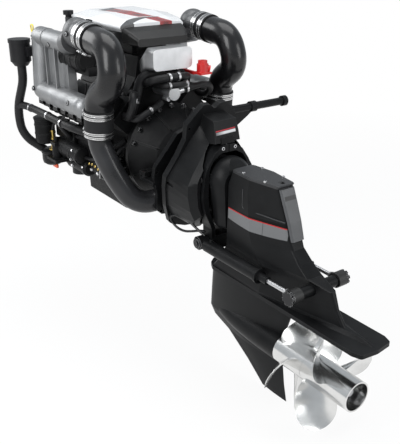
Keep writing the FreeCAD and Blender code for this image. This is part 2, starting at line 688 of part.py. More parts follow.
def aft_bushes():
    return [sleeve((sx * (TRIM_X - EYE_HALF), AFT_PIN_Y, TRIM_Z), (sx * (TRIM_X + EYE_HALF), AFT_PIN_Y, TRIM_Z),
                   AFT_BORE_R - 0.2, AFT_PIN_R + 0.2) for sx in (-1, 1)]


def bellows(start, end, z, inner, outer, count):
    """Rubber bellows with flat-topped folds between two faces."""
    pitch = (end - start) / count
    waist = z + inner + (outer - inner) * 0.45
    profile = [V(0, start, z + inner)]
    for i in range(count):
        y = start + i * pitch
        profile += [V(0, y, waist), V(0, y + pitch * 0.3, z + outer), V(0, y + pitch * 0.7, z + outer)]
    profile += [V(0, end, waist), V(0, end, z + inner)]
    return Part.Face(Part.makePolygon(profile + profile[:1])).revolve(V(0, 0, z), V(0, 1, 0), 360)


def drive_bellows():
    return [bellows(BOSS_Y - GAP, BELL_FRONT + GAP, 0, 59, 72, 4),
            bellows(-62 - GAP, BELL_FRONT + GAP, EXHAUST_Z, EXHAUST_R, 40, 5)]


# Trim cylinders

def trim_cylinders():
    solids = []
    y = FRONT_PIN_Y
    barrel_end = y - BARREL_END
    gland_end = barrel_end - GLAND_LENGTH
    for sx in (-1, 1):
        x = sx * TRIM_X
        parts = [rod((x - EYE_HALF, y, TRIM_Z), (x + EYE_HALF, y, TRIM_Z), EYE_R),
                 cone((x, y, TRIM_Z), (x, y - 46, TRIM_Z), 17, 21),
                 rod((x, y - 36, TRIM_Z), (x, barrel_end, TRIM_Z), BARREL_R),
                 rod((x, barrel_end, TRIM_Z), (x, gland_end, TRIM_Z), GLAND_R),
                 rod((x, barrel_end, TRIM_Z), (x, barrel_end + 12, TRIM_Z), BARREL_R + 3),
                 rod((x, y - 62, TRIM_Z + BARREL_R - 3), (x, y - 62, TRIM_Z + BARREL_R + 9), 7)]
        cuts = [rod((x, y - 34, TRIM_Z), (x, barrel_end + 14, TRIM_Z), PISTON_R + RUN),
                rod((x, y - 36, TRIM_Z), (x, gland_end - 1, TRIM_Z), ROD_R + RUN),
                rod((x - 40, y, TRIM_Z), (x + 40, y, TRIM_Z), TRIM_PIN_R + RUN)]
        solids.append(joined(parts).cut(cuts))
    return solids


def trim_rods():
    solids = []
    start = FRONT_PIN_Y - 52
    for sx in (-1, 1):
        x = sx * TRIM_X
        parts = [rod((x, start, TRIM_Z), (x, AFT_PIN_Y + EYE_R - 3, TRIM_Z), ROD_R),
                 rod((x, start, TRIM_Z), (x, start - PISTON_T, TRIM_Z), PISTON_R),
                 cone((x, AFT_PIN_Y + EYE_R + 14, TRIM_Z), (x, AFT_PIN_Y + EYE_R - 3, TRIM_Z), 11, 16),
                 rod((x - EYE_HALF, AFT_PIN_Y, TRIM_Z), (x + EYE_HALF, AFT_PIN_Y, TRIM_Z), EYE_R)]
        solids.append(joined(parts).cut(rod((x - 40, AFT_PIN_Y, TRIM_Z), (x + 40, AFT_PIN_Y, TRIM_Z), AFT_BORE_R)))
    return solids


# Propellers

def blade(y_mid, hand, turn, chords, rake, skew):
    """One propeller blade lofted through flat sections square to its own radius."""
    out_dir = V(math.sin(turn), 0, math.cos(turn))
    side_dir = V(hand * math.cos(turn), 0, -hand * math.sin(turn))
    wires = []
    for radius, chord in zip(BLADE_RADII, chords):
        angle = math.atan(BLADE_PITCH / (2 * math.pi * max(radius, HUB_R - 8)))
        out = max(0, (radius - HUB_R) / (PROP_R - HUB_R))
        thick = 9.0 - 6.4 * out
        faces = []
        for side in (1, -1):
            points = []
            for s, t in ((-0.5, 0.12), (-0.3, 0.8), (0.0, 1.0), (0.3, 0.7), (0.5, 0.12)):
                off = side * thick * t / 2 + 0.05 * chord * (1 - (2 * s) ** 2)
                across = s * chord * math.cos(angle) - off * math.sin(angle) + skew * out ** 2
                along = s * chord * math.sin(angle) + off * math.cos(angle) + rake * out
                points.append(V(0, y_mid + along, PROP_Z) + out_dir * radius + side_dir * across)
            faces.append(points)
        upper, lower = Part.BSplineCurve(), Part.BSplineCurve()
        upper.interpolate(faces[0])
        lower.interpolate(list(reversed(faces[1])))
        wires.append(Part.Wire([upper.toShape(), Part.LineSegment(faces[0][-1], faces[1][-1]).toShape(),
                                lower.toShape(), Part.LineSegment(faces[1][0], faces[0][0]).toShape()]))
    core = rod((0, y_mid + 200, PROP_Z), (0, y_mid - 200, PROP_Z), HUB_R - 2.5)
    return loft(wires).cut(core)


def propeller(front, length, cup, hand, phases, chords, rake, bore):
    rear = front - length

    def at(y):
        return (0, y, PROP_Z)
    shell = sleeve(at(front), at(rear), HUB_R, HUB_R - HUB_WALL)
    core = rod(at(front), at(rear + cup), bore + 10)
    wall = rod(at(front), at(front - 10), HUB_R - 1)
    spokes = [box(-3, 3, rear + cup, front - 5, PROP_Z - HUB_R + 2, PROP_Z + HUB_R - 2),
              box(-HUB_R + 2, HUB_R - 2, rear + cup, front - 5, PROP_Z - 3, PROP_Z + 3)]
    blades = [blade((front + rear + cup) / 2, hand, math.radians(180 + phase), chords, rake, 8) for phase in phases]
    whole = joined([shell, core, wall] + spokes + blades)
    return largest(whole.cut(rod(at(front + 5), at(rear - 5), bore)))


def front_propeller():
    phases = [360.0 * i / FRONT_BLADES for i in range(FRONT_BLADES)]
    return propeller(TORPEDO_AFT - HUB_GAP, FRONT_HUB, 0, -1, phases, FRONT_CHORDS, -44, OUTER_SHAFT_R)


def rear_propeller():
    phases = [30 + 360.0 * i / REAR_BLADES for i in range(REAR_BLADES)]
    front = TORPEDO_AFT - 2 * HUB_GAP - FRONT_HUB
    return propeller(front, REAR_HUB, 70, 1, phases, REAR_CHORDS, -36, INNER_SHAFT_R)


def prop_shaft_outer():
    end = TORPEDO_AFT - HUB_GAP - FRONT_HUB
    gear = bevel((0, VERT_Y, PROP_Z), (0, -1, 0), 14, PINION_R, GEAR_R / PINION_R, 8)
    tube = rod((0, VERT_Y - 24, PROP_Z), (0, end, PROP_Z), OUTER_SHAFT_R)
    return joined(gear + [tube]).cut(rod((0, VERT_Y + 10, PROP_Z), (0, end - 5, PROP_Z), INNER_SHAFT_R + RUN))


def prop_shaft_inner():
    end = TORPEDO_AFT - 2 * HUB_GAP - FRONT_HUB - REAR_HUB + 28
    gear = bevel((0, VERT_Y, PROP_Z), (0, 1, 0), 14, PINION_R, GEAR_R / PINION_R, 8)
    return joined(gear + [rod((0, VERT_Y + 76, PROP_Z), (0, end, PROP_Z), INNER_SHAFT_R)])


def prop_nut():
    front = TORPEDO_AFT - 2 * HUB_GAP - FRONT_HUB - REAR_HUB + 70
    corners = [(24 * math.cos(math.radians(60 * i)), PROP_Z + 24 * math.sin(math.radians(60 * i))) for i in range(6)]
    nut = slab_y(corners, front - 2.5, front - 26)
    washer = rod((0, front - 0.5, PROP_Z), (0, front - 2.5, PROP_Z), 26)
    return joined([nut, washer]).cut(rod((0, front + 5, PROP_Z), (0, front - 60, PROP_Z), INNER_SHAFT_R))


# Engine

def bank(side, y0, y1, low, high, half, outer=None):
    """Block on a cylinder bank, between two distances from the crank, square to the bore."""
    outer = half if outer is None else outer
    u = V(side * math.sqrt(0.5), 0, math.sqrt(0.5))
    w = V(side * math.sqrt(0.5), 0, -math.sqrt(0.5))
    corners = [u * low + w * outer, u * high + w * outer, u * high - w * half, u * low - w * half]
    return slab_y([(c.x, c.z) for c in corners], y0, y1)


def valley():
    """Half outline of the block's top."""
    d, h = DECK, HEAD_HALF
    r = math.sqrt(0.5)
    return [(0, 140), (52, 158), ((d - h) * r, (d + h) * r), ((d + h) * r, (d - h) * r), (156, 40), (148, -70), (0, -70)]


def engine_block():
    block = slab_y(both_sides(valley()), HOUSING_FRONT, BLOCK_FRONT)
    ribs = [box(sx * 156 - 8, sx * 156 + 8, y, y + 8, -62, 24) for sx in (-1, 1) for y in (330, 440, 550, 660)]
    return joined([block] + ribs).cut(rod((0, HOUSING_FRONT - 1, 0), (0, BLOCK_FRONT + 1, 0), CRANK_R + RUN))


def cylinder_heads():
    return [bank(s, HEAD_BACK, 752, DECK, DECK + HEAD_H, HEAD_HALF) for s in (-1, 1)]


def rocker_covers():
    covers = []
    low, high = DECK + HEAD_H, DECK + HEAD_H + ROCKER_H
    for s in (-1, 1):
        cover = bank(s, ROCKER_BACK, 742, low, high, ROCKER_HALF)
        top = [e for e in cover.Edges if e.Length > 200
               and (e.Vertexes[0].Point.z + s * e.Vertexes[0].Point.x) * math.sqrt(0.5) > high - 1]
        covers.append(cover.makeFillet(12, top))
    return covers


def oil_pan():
    rail = box(-146, 146, HOUSING_FRONT + 4, BLOCK_FRONT - 2, -84, -70)
    top = rounded([V(-134, 274, -84), V(134, 274, -84), V(134, 768, -84), V(-134, 768, -84)], 24)
    low = rounded([V(-130, 380, PAN_BOTTOM), V(130, 380, PAN_BOTTOM), V(130, 760, PAN_BOTTOM),
                   V(-130, 760, PAN_BOTTOM)], 24)
    cut = rod((0, HOUSING_FRONT - 1, 0), (0, BLOCK_FRONT + 1, 0), CRANK_R + 30)
    return joined([rail, loft([top, low], True)]).cut(cut)


def timing_cover():
    cover = slab_y(both_sides([(0, 138), (70, 130), (108, 60), (96, -66), (0, -69)]), BLOCK_FRONT, BLOCK_FRONT + 26, 12)
    return cover.cut(rod((0, BLOCK_FRONT - 1, 0), (0, BLOCK_FRONT + 30, 0), CRANK_R + RUN))


def flywheel_housing():
    y0 = 130
    outer = turned([(y0, 98), (y0 + 16, 120), (182, 154), (222, 188), (238, 200), (HOUSING_FRONT, 200)])
    inner = turned([(y0 + 12, 90), (y0 + 22, 108), (184, 144), (219, 178), (HOUSING_FRONT + 1, 184)])
    webs = []
    for i in range(8):
        web = slab_x([(y0 + 2, 92), (y0 + 18, 128), (228, 197), (252, 197), (252, 150)], -4, 4)
        web.rotate(V(0, 0, 0), V(0, 1, 0), 22.5 + 45 * i)
        webs.append(web)
    ears = []
    for sx in (-1, 1):
        low, high = sorted((sx * 100, sx * 186))
        ears.append(box(low, high, 134, 172, -50, -34))
    body = joined([outer] + webs + ears).cut(inner)
    cuts = [rod((0, y0 - 1, 0), (0, y0 + 20, 0), SPIGOT_BORE)]
    cuts += [rod((sx * 168, MOUNT_Y, -60), (sx * 168, MOUNT_Y, -30), BOLT_R) for sx in (-1, 1)]
    return largest(body.cut(cuts))


def rear_mounts():
    """Rubber pads between the plate's ledges and the flywheel housing's ears."""
    return [sleeve((sx * 168, MOUNT_Y, -57.9), (sx * 168, MOUNT_Y, -50.1), 16, BOLT_R + 0.5) for sx in (-1, 1)]


def intake_manifold():
    top = slab_y(both_sides([(0, 100), (52, 100), (150, 240), (138, 262), (106, 306), (92, 388), (0, 396)]),
                 INTAKE_BACK, 730)
    rails = [box(sx * 70 - 12, sx * 70 + 12, 372, 690, 380, 470) for sx in (-1, 1)]
    rails += [box(sx * 70 - 12, sx * 70 + 12, 524, 680, 469, HOOD_UNDER) for sx in (-1, 1)]
    cuts = [bank(s, 270, 780, DECK - 60, DECK + HEAD_H, HEAD_HALF) for s in (-1, 1)]
    cuts += [bank(s, 270, 780, DECK, DECK + HEAD_H + ROCKER_H, ROCKER_HALF + 1) for s in (-1, 1)]
    cuts.append(slab_y(both_sides(valley()), 250, 790))
    return largest(joined([top] + rails).cut(cuts))


def plate_section(y, half, z0, z1, corner):
    return rounded([V(-half, y, z0), V(half, y, z0), V(half, y, z1), V(-half, y, z1)], corner)


def plenum_end():
    """Cast housing at the back of the intake."""
    return loft([plate_section(311.5, 84, 318, 384, 18), plate_section(250, 94, 338, 430, 20),
                 plate_section(194, 92, 344, 428, 20)], True)


def engine_cover():
    """Long shallow hood over the intake, with sloping shoulders."""
    def section(y, half, top, edge, under):
        return rounded([V(-half, y, edge), V(-half * 0.55, y, top - 4), V(half * 0.55, y, top - 4), V(half, y, edge),
                        V(half * 0.82, y, under), V(-half * 0.82, y, under)], 10)
    hood = loft([section(742, 176, 532, 512, HOOD_UNDER), section(684, 200, 546, 524, HOOD_UNDER),
                 section(520, 204, 544, 522, HOOD_UNDER), section(400, 186, 530, 512, HOOD_UNDER - 2),
                 section(HOOD_BACK, 158, 516, 504, HOOD_UNDER - 4)], True)
    return largest(hood.cut(rod((CAP_X, CAP_Y, 470), (CAP_X, CAP_Y, 560), 24)))


def cover_trim():
    """Dark shoulders beside the hood and the fascia behind it."""
    solids = []
    for s in (-1, 1):
        def section(y, drop):
            top = HOOD_UNDER - drop
            return rounded([V(s * 112, y, top), V(s * 158, y, top), V(s * 206, y, 466), V(s * 200, y, 446),
                            V(s * 150, y, 430), V(s * 112, y, 434)], 6)
        shoulder = loft([section(736, 0), section(520, 0), section(400, 2), section(369, 3)], True)
        if s < 0:
            shoulder = joined([shoulder, rod((CAP_X, CAP_Y, 460), (CAP_X, CAP_Y, 512 - RUN), 15)])
        solids.append(shoulder)
    solids.append(loft([plate_section(HOOD_BACK, 146, 440, 500, 14), plate_section(300, 138, 434, 486, 14),
                        plate_section(262, 118, 432, 462, 12)], True))
    return solids


def exhaust_manifold(s):
    lower = rod((s * LOG_X, MANIFOLD_AFT, LOG_Z), (s * LOG_X, 742, LOG_Z), LOG_R)
    end = Part.makeSphere(LOG_R, V(s * LOG_X, MANIFOLD_AFT, LOG_Z))
    bend = pipe([(s * LOG_X, 741, LOG_Z), (s * LOG_X, 782, LOG_Z + 2),
                 (s * UPPER_LOG_X, 782, UPPER_LOG_Z), (s * UPPER_LOG_X, 700, UPPER_LOG_Z)], UPPER_LOG_R + 2, 0.48)
    upper = rod((s * UPPER_LOG_X, 701, UPPER_LOG_Z), (s * UPPER_LOG_X, 512, UPPER_LOG_Z), UPPER_LOG_R)
    low, high = sorted((s * (LOG_X + 20), s * (LOG_X + 6)))
    ribs = [box(low, high, y - 4, y + 4, LOG_Z + 30, UPPER_LOG_Z - 20) for y in (590, 680)]
    inner_low, inner_high = sorted((s * 262, s * 300))
    web = box(inner_low, inner_high, 528, 736, LOG_Z + 20, UPPER_LOG_Z - 20)
    runners = [rod((s * (LOG_X - 10), y, LOG_Z - 6), (s * 232, y, 144), 25) for y in (392, 492, 592, 692)]
    face = bank(s, 310, 742, DECK + 8, DECK + HEAD_H - 8, 0, HEAD_HALF + 14)
    foot = []
    for i in range(6):
        y = MANIFOLD_AFT - 26 + 76 * i
        low, high = sorted((s * 290, s * 334))
        foot.append(box(low, high, y, y + 40, LOG_Z - LOG_R - 10, LOG_Z - 20))
    body = joined([lower, end, bend, upper, web, face] + ribs + runners + foot)
    keep_out = [bank(s, 260, 800, DECK - 80, DECK + HEAD_H, HEAD_HALF),
                bank(s, 260, 800, DECK + HEAD_H, DECK + HEAD_H + ROCKER_H + 1, ROCKER_HALF + 1)]
    return largest(body.cut(keep_out))


def riser(s):
    """Casting that lifts the exhaust out of the manifold and turns it aft."""
    x = s * ELBOW_X
    ahead = box(x - 90, x + 90, 511.5, 620, 300, 600)
    foot = rod((s * UPPER_LOG_X, 530, UPPER_LOG_Z + 2), (s * UPPER_LOG_X, 470, UPPER_LOG_Z + 16), 50)
    throat = Part.makeSphere(60, V(x, 452, 480))
    nozzle = rod((x, 452, 480), (x, 372, 473), PIPE_R)
    return largest(joined([foot, throat, nozzle]).cut(ahead))


def exhaust_elbow(s):
    points = [(s * 280, 342, 469.5), (s * 280, 196, 454.6), (s * 291, 158, 334), (s * 298, 272.5, 256),
              (s * 299, 279.7, 172)]
    return pipe(points, PIPE_R, 0.44)


def exhaust_pipe(s):
    end = rake_point(s * PORT_X, TRANSOM + PLATE, PORT_Z)
    corner = rake_point(s * PORT_X, TRANSOM + PLATE + 22, PORT_Z)
    r = PIPE_R - 8
    run = pipe([(s * 299, 283, 133), (s * 299, 288.5, 68), (s * 268, 232, -62), (s * 206, 176, -180), tuple(corner)],
               r, 0.47)
    outlet = Part.makeCylinder(r, 22, end, corner - end)
    aft_of_plate = raked(box(-400, 400, -200, TRANSOM + PLATE, -500, 500))
    return largest(joined([run, outlet, Part.makeSphere(r, corner)]).cut(aft_of_plate))


def hose_runs():
    runs = []
    for s in (-1, 1):
        runs.append((V(s * 280, 400, 475.4), V(s * 280, 318, 467)))
        runs.append((V(s * 299, 276.5, 209), V(s * 299, 286, 98)))
    return runs


def exhaust_hoses():
    return [sleeve(tuple(a), tuple(b), HOSE_R + 0.5, PIPE_R + 0.4) for a, b in hose_runs()]


def hose_clamps():
    rings = []
    for start, end in hose_runs():
        run = end - start
        length = run.Length
        run.normalize()
        for d in (5, 9 + CLAMP_W, length - 9 - 2 * CLAMP_W, length - 5 - CLAMP_W):
            p, q = start + run * d, start + run * (d + CLAMP_W)
            rings.append(sleeve(tuple(p), tuple(q), HOSE_R + 0.5 + CLAMP_T, HOSE_R + 0.5))
    return rings


# Engine fittings

def terminal_cover():
    parts = [box(98, 152, 140, 196, 318, 326), box(96, 108, 190, INTAKE_BACK, 314, 326),
             rod((124, 166, 326), (124, 166, 358), 24), rod((124, 166, 358), (124, 166, 372), 19),
             rod((124, 166, 344), (150, 150, 338), 13)]
    return joined(parts)


def starter_motor():
    front = HOUSING_FRONT
    parts = [rod((-186, front, -60), (-186, front + 40, -60), 22), rod((-199, front + 34, -60), (-199, front + 190, -60), 34),
             rod((-190, front + 40, -116), (-190, front + 120, -116), 19),
             box(-200, -178, front + 44, front + 110, -104, -84)]
    return joined(parts)


def filter_canisters():
    """Oil filter beside the pan and the tall canister ahead of the port manifold."""
    spin = [rod((-214, 640, -70), (-214, 640, -166), 46), box(-214, -156.5, 620, 660, -66, -40),
            rod((-214, 640, -72), (-214, 640, -40), 40)]
    case = [rod((-360, 884, 318), (-360, 884, 400), 46), rod((-360, 884, 400), (-360, 884, 415), 49),
            cone((-360, 884, 318), (-360, 884, 298), 44, 30), box(-352, -306, 824, 870, 344, 384)]
    manifold_face = rod((-UPPER_LOG_X, 782, 100), (-UPPER_LOG_X, 782, 500), UPPER_LOG_R + 2)
    return [joined(spin), joined(case).cut(manifold_face)]


def alternator_body():
    parts = [rod((ALT_X, 790, ALT_Z), (ALT_X, 862, ALT_Z), 62), box(150, 206, 752, 800, 232, 262),
             box(ALT_X - 20, ALT_X + 20, 776, 806, 200, 260)]
    body = joined(parts).cut([rod((ALT_X, 770, ALT_Z), (ALT_X, 900, ALT_Z), 9 + RUN),
                              bank(1, 284, 752, DECK, DECK + HEAD_H + ROCKER_H, HEAD_HALF)])
    return largest(body)


def alternator_pulley():
    return joined([rod((ALT_X, 800, ALT_Z), (ALT_X, PULLEY_Y + PULLEY_W + 4, ALT_Z), 9),
                   rod((ALT_X, PULLEY_Y, ALT_Z), (ALT_X, PULLEY_Y + PULLEY_W, ALT_Z), ALT_PULLEY_R)])


def water_pumps():
    """Circulating pump on the block's face and the sea-water pump low on the port side."""
    front = BLOCK_FRONT + 26
    ring = rod((0, front, PUMP_Z), (0, front + 44, PUMP_Z), 56)
    arms = [rod((0, front + 22, PUMP_Z), (sx * 108, front + 22, PUMP_Z + 40), 20) for sx in (-1, 1)]
    circulating = joined([ring] + arms).cut(rod((0, front - 1, PUMP_Z), (0, 900, PUMP_Z), 10 + RUN))
    sea = joined([rod((-168, BLOCK_FRONT + 2, -30), (-168, 860, -30), 48), box(-150, -108, BLOCK_FRONT, 800, -60, -8),
                  rod((-186, 836, 0), (-214, 836, 46), 17), rod((-190, 836, -50), (-240, 836, -76), 17)])
    return [circulating, sea]


def pump_pulley():
    return joined([rod((0, BLOCK_FRONT + 30, PUMP_Z), (0, PULLEY_Y + PULLEY_W + 3, PUMP_Z), 10),
                   rod((0, PULLEY_Y, PUMP_Z), (0, PULLEY_Y + PULLEY_W, PUMP_Z), PUMP_PULLEY_R - 8)])


def crankshaft():
    shaft = rod((0, HOUSING_FRONT - 12, 0), (0, PULLEY_Y + PULLEY_W, 0), CRANK_R)
    pulley = rod((0, PULLEY_Y, 0), (0, PULLEY_Y + PULLEY_W, 0), CRANK_PULLEY_R - 22)
    damper = rod((0, BLOCK_FRONT + 40, 0), (0, PULLEY_Y, 0), 56)
    return [shaft, pulley.fuse(damper).removeSplitter().cut(shaft)]


def flywheel():
    disc = joined([rod((0, 220, 0), (0, 244, 0), 168), rod((0, 243, 0), (0, HOUSING_FRONT - 2, 0), 56)])
    disc = disc.cut(rod((0, HOUSING_FRONT - 12, 0), (0, 280, 0), CRANK_R))
    coupler = joined([rod((0, 211, 0), (0, 220, 0), 132), rod((0, 176, 0), (0, 212, 0), 46)])
    return [disc, coupler.cut(rod((0, 170, 0), (0, 222.5, 0), INPUT_R))]


def hull(circles):
    """Convex outline round circles, as points on their rims."""
    points = []
    for x, z, r in circles:
        points += [(x + r * math.cos(math.radians(12 * i)), z + r * math.sin(math.radians(12 * i)))
                   for i in range(30)]
    points = sorted(set(points))

    def chain(seq):
        out = []
        for p in seq:
            while len(out) > 1 and ((out[-1][0] - out[-2][0]) * (p[1] - out[-2][1])
                                    - (out[-1][1] - out[-2][1]) * (p[0] - out[-2][0])) <= 0:
                out.pop()
            out.append(p)
        return out[:-1]
    return chain(points) + chain(reversed(points))


def serpentine_belt():
    circles = [(0, 0, CRANK_PULLEY_R - 22), (ALT_X, ALT_Z, ALT_PULLEY_R), (0, PUMP_Z, PUMP_PULLEY_R - 8)]
    outer = hull([(x, z, r + BELT_GAP + 4) for x, z, r in circles])
    inner = hull([(x, z, r + BELT_GAP) for x, z, r in circles])
    y0, y1 = PULLEY_Y + 3, PULLEY_Y + PULLEY_W - 3
    return slab_y(outer, y0, y1).cut(slab_y(inner, y0 - 1, y1 + 1))


def coolant_hoses():
    """Rubber hoses across the back of the engine and round the port side."""
    return [
        pipe([(-100, INTAKE_BACK, 285), (-100, 258, 285), (-112, 180, 316), (-20, 162, 322), (60, 172, 318),
              (86, 246, 296), (86, INTAKE_BACK, 296)], 15),
        pipe([(-128, INTAKE_BACK, 248), (-128, 268, 248), (-186, 204, 262), (-198, 186, 220), (-204, 206, 184),
              (-182, 238, 164), (-182, HEAD_BACK, 164)], 15),
        pipe([(-60, INTAKE_BACK, 284), (-60, 236, 284), (-56, 150, 292), (0, 142, 292), (38, 158, 291),
              (40, 232, 290), (40, INTAKE_BACK, 290)], 12),
        pipe([(46, 196, 258), (120, 190.3, 269.4), (170, 190, 270), (206, 216, 240), (206, 258, 206),
              (206, ROCKER_BACK, 206)], 13),
        pipe([(-360, 884, 297.4), (-360, 884, 230), (-376, 950, 90), (-366, 950, -40), (-262, 880, -130)], 20),
    ]


def thermostat_housing():
    body = rod((-6, 178, 250), (-6, 226, 250), 27)
    neck = rod((-6, 225, 250), (-6, INTAKE_BACK, 250), 20)
    return joined([body, neck, rod((-6, 200, 250), (46, 196, 258), 13), rod((-30, 186, 230), (-30, 220, 230), 9)])


def front_mounts():
    solids = []
    for s in (-1, 1):
        foot = slab_z([(s * 252, 690), (s * 320, 690), (s * 320, 800), (s * 252, 800)], -122, -110, 8)
        holes = [rod((s * 286, y, -130), (s * 286, y, -100), BOLT_R) for y in (708, 782)]
        low, high = sorted((s * 149.5, s * 306))
        plate_low, plate_high = sorted((s * 149.5, s * 166))
        parts = [foot.cut(holes), rod((s * 286, 745, -111), (s * 286, 745, -50), 22),
                 rod((s * 286, 745, -50), (s * 286, 745, -14), 9),
                 box(low, high, 722, 768, -50, -36), box(plate_low, plate_high, 702, 774, -64, -6)]
        solids.append(joined(parts).cut(slab_y(both_sides(valley()), 600, BLOCK_FRONT)))
    return solids


def fill_cap():
    return joined([rod((CAP_X, CAP_Y, 523), (CAP_X, CAP_Y, 540), 22), rod((CAP_X, CAP_Y, 512), (CAP_X, CAP_Y, 524), 13)])


def largest(shape):
    return max(shape.Solids, key=lambda part: part.Volume)


# Writing

SUBPARTS = [
    ("gimbal_housing", gimbal_housing), ("gimbal_bearing", gimbal_bearing),
    ("inner_transom_plate", inner_transom_plate), ("steering_tube", steering_tube),
    ("gimbal_ring", gimbal_ring), ("pivot_pins", pivot_pins), ("steering_lever", steering_lever),
    ("steering_rod", steering_rod), ("front_anchor_pin", front_anchor_pin),
    ("front_yoke", front_yoke), ("joint_cross", joint_cross), ("input_shaft", input_shaft),
    ("vertical_shaft", vertical_shaft), ("bell_housing", bell_housing),
    ("upper_housing", upper_housing), ("top_cover", top_cover), ("rear_cover", rear_cover),
    ("lower_gearcase", lower_gearcase), ("trim_anode", trim_anode), ("aft_anchor_pin", aft_anchor_pin),
    ("aft_bushes", aft_bushes), ("drive_bellows", drive_bellows), ("trim_cylinders", trim_cylinders),
    ("trim_rods", trim_rods), ("front_propeller", front_propeller), ("rear_propeller", rear_propeller),
    ("prop_shaft_outer", prop_shaft_outer), ("prop_shaft_inner", prop_shaft_inner), ("prop_nut", prop_nut),
    ("engine_block", engine_block), ("cylinder_heads", cylinder_heads), ("rocker_covers", rocker_covers),
    ("oil_pan", oil_pan), ("timing_cover", timing_cover), ("flywheel_housing", flywheel_housing),
    ("rear_mounts", rear_mounts), ("intake_manifold", intake_manifold), ("plenum_end", plenum_end),
    ("engine_cover", engine_cover), ("cover_trim", cover_trim),
    ("exhaust_manifolds", lambda: [exhaust_manifold(-1), exhaust_manifold(1)]),
    ("exhaust_risers", lambda: [riser(-1), riser(1)]),
    ("exhaust_elbows", lambda: [exhaust_elbow(-1), exhaust_elbow(1)]),
    ("exhaust_pipes", lambda: [exhaust_pipe(-1), exhaust_pipe(1)]),
    ("exhaust_hoses", exhaust_hoses), ("hose_clamps", hose_clamps), ("terminal_cover", terminal_cover),
    ("starter_motor", starter_motor), ("filter_canisters", filter_canisters),
    ("alternator_body", alternator_body), ("alternator_pulley", alternator_pulley),
    ("water_pumps", water_pumps), ("pump_pulley", pump_pulley), ("crankshaft", crankshaft),
    ("flywheel", flywheel), ("serpentine_belt", serpentine_belt), ("coolant_hoses", coolant_hoses),
    ("thermostat_housing", thermostat_housing), ("front_mounts", front_mounts), ("fill_cap", fill_cap),
]

os.makedirs("parts", exist_ok=True)
for name, make in SUBPARTS:
    write(name, make())
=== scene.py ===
# %% [markdown]
# # Dressing a stern drive and its engine
# The solid model gives every casting its size and place. This lesson gives them their
# finishes, and adds what a solid model leaves out: screws, clamps, plugs, fittings, bellows,
# pipes and stripes. Lengths below are in millimetres and turned to metres once.

# %% Load the solid model
import math

import bmesh
import bpy
from mathutils import Matrix, Vector


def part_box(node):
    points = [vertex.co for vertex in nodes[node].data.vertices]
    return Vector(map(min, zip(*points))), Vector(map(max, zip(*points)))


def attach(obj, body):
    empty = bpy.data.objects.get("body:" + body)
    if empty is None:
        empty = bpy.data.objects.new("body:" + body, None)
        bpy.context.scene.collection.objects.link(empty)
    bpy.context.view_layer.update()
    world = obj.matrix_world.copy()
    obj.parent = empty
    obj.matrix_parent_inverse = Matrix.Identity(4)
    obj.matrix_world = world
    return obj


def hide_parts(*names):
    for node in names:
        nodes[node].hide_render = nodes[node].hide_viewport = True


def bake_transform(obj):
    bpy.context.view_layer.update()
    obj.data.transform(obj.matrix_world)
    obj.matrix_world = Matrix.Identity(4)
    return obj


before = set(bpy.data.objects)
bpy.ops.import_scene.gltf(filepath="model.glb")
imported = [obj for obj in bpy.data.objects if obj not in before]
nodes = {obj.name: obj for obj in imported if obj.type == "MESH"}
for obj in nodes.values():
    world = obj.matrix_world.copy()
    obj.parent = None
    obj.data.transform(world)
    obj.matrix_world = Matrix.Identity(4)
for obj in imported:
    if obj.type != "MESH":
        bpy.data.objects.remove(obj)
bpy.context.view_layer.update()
print("solids to dress:", len(nodes))

# %% [markdown]
# The camera stands aft, to port and above. Its lens was found from the vanishing points of
# the engine's long edges. It comes first, since it tells which details will be seen at all.

# %% Camera
def mm(x, y, z):
    return Vector((x, y, z)) / 1000

camera = bpy.data.objects.new("camera", bpy.data.cameras.new("camera"))
bpy.context.scene.collection.objects.link(camera)
bpy.context.scene.camera = camera
camera.location = mm(-1460, -2008, 835)
camera.rotation_mode = "QUATERNION"
camera.rotation_quaternion = Vector((0.5367, 0.7428, -0.4003)).to_track_quat("-Z", "Y")
camera.data.lens = 53.27
camera.data.sensor_width = 36
camera.data.clip_end = 60
print("camera looks along", camera.rotation_quaternion @ Vector((0, 0, -1)))

# %% [markdown]
# Shader maths reads best as arithmetic. A Channel wraps one socket, and its operators add
# the Math nodes. A Finish owns a material and adds any other node through one method.

# %% Shader arithmetic
class Channel:
    """One socket of a node tree that can be added, multiplied and compared."""

    def __init__(self, finish, socket):
        self.finish, self.socket = finish, socket

    def math(self, operation, *others, clamp=False):
        values = dict(enumerate((self,) + others))
        return self.finish.node("ShaderNodeMath", {"operation": operation, "use_clamp": clamp}, values).out(0)

    def __add__(self, other):
        return self.math("ADD", other)

    def __sub__(self, other):
        return self.math("SUBTRACT", other)

    def __rsub__(self, other):
        return (self * -1) + other

    def __mul__(self, other):
        return self.math("MULTIPLY", other)

    def __gt__(self, other):
        return self.math("GREATER_THAN", other)

    def __lt__(self, other):
        return self.math("LESS_THAN", other)

    __radd__ = __add__
    __rmul__ = __mul__

    def clamp(self):
        return self.math("ADD", 0.0, clamp=True)

    def step(self, low, high):
        """0 below low, 1 above high, straight between them."""
        return self.finish.node("ShaderNodeMapRange", {"clamp": True}, {0: self, 1: low, 2: high}).out(0)

    def within(self, low, high, soft=0.0004):
        return self.step(low - soft, low + soft) * (1 - self.step(high - soft, high + soft))


class Made:
    def __init__(self, finish, node):
        self.finish, self.made = finish, node

    def out(self, key):
        return Channel(self.finish, self.made.outputs[key])


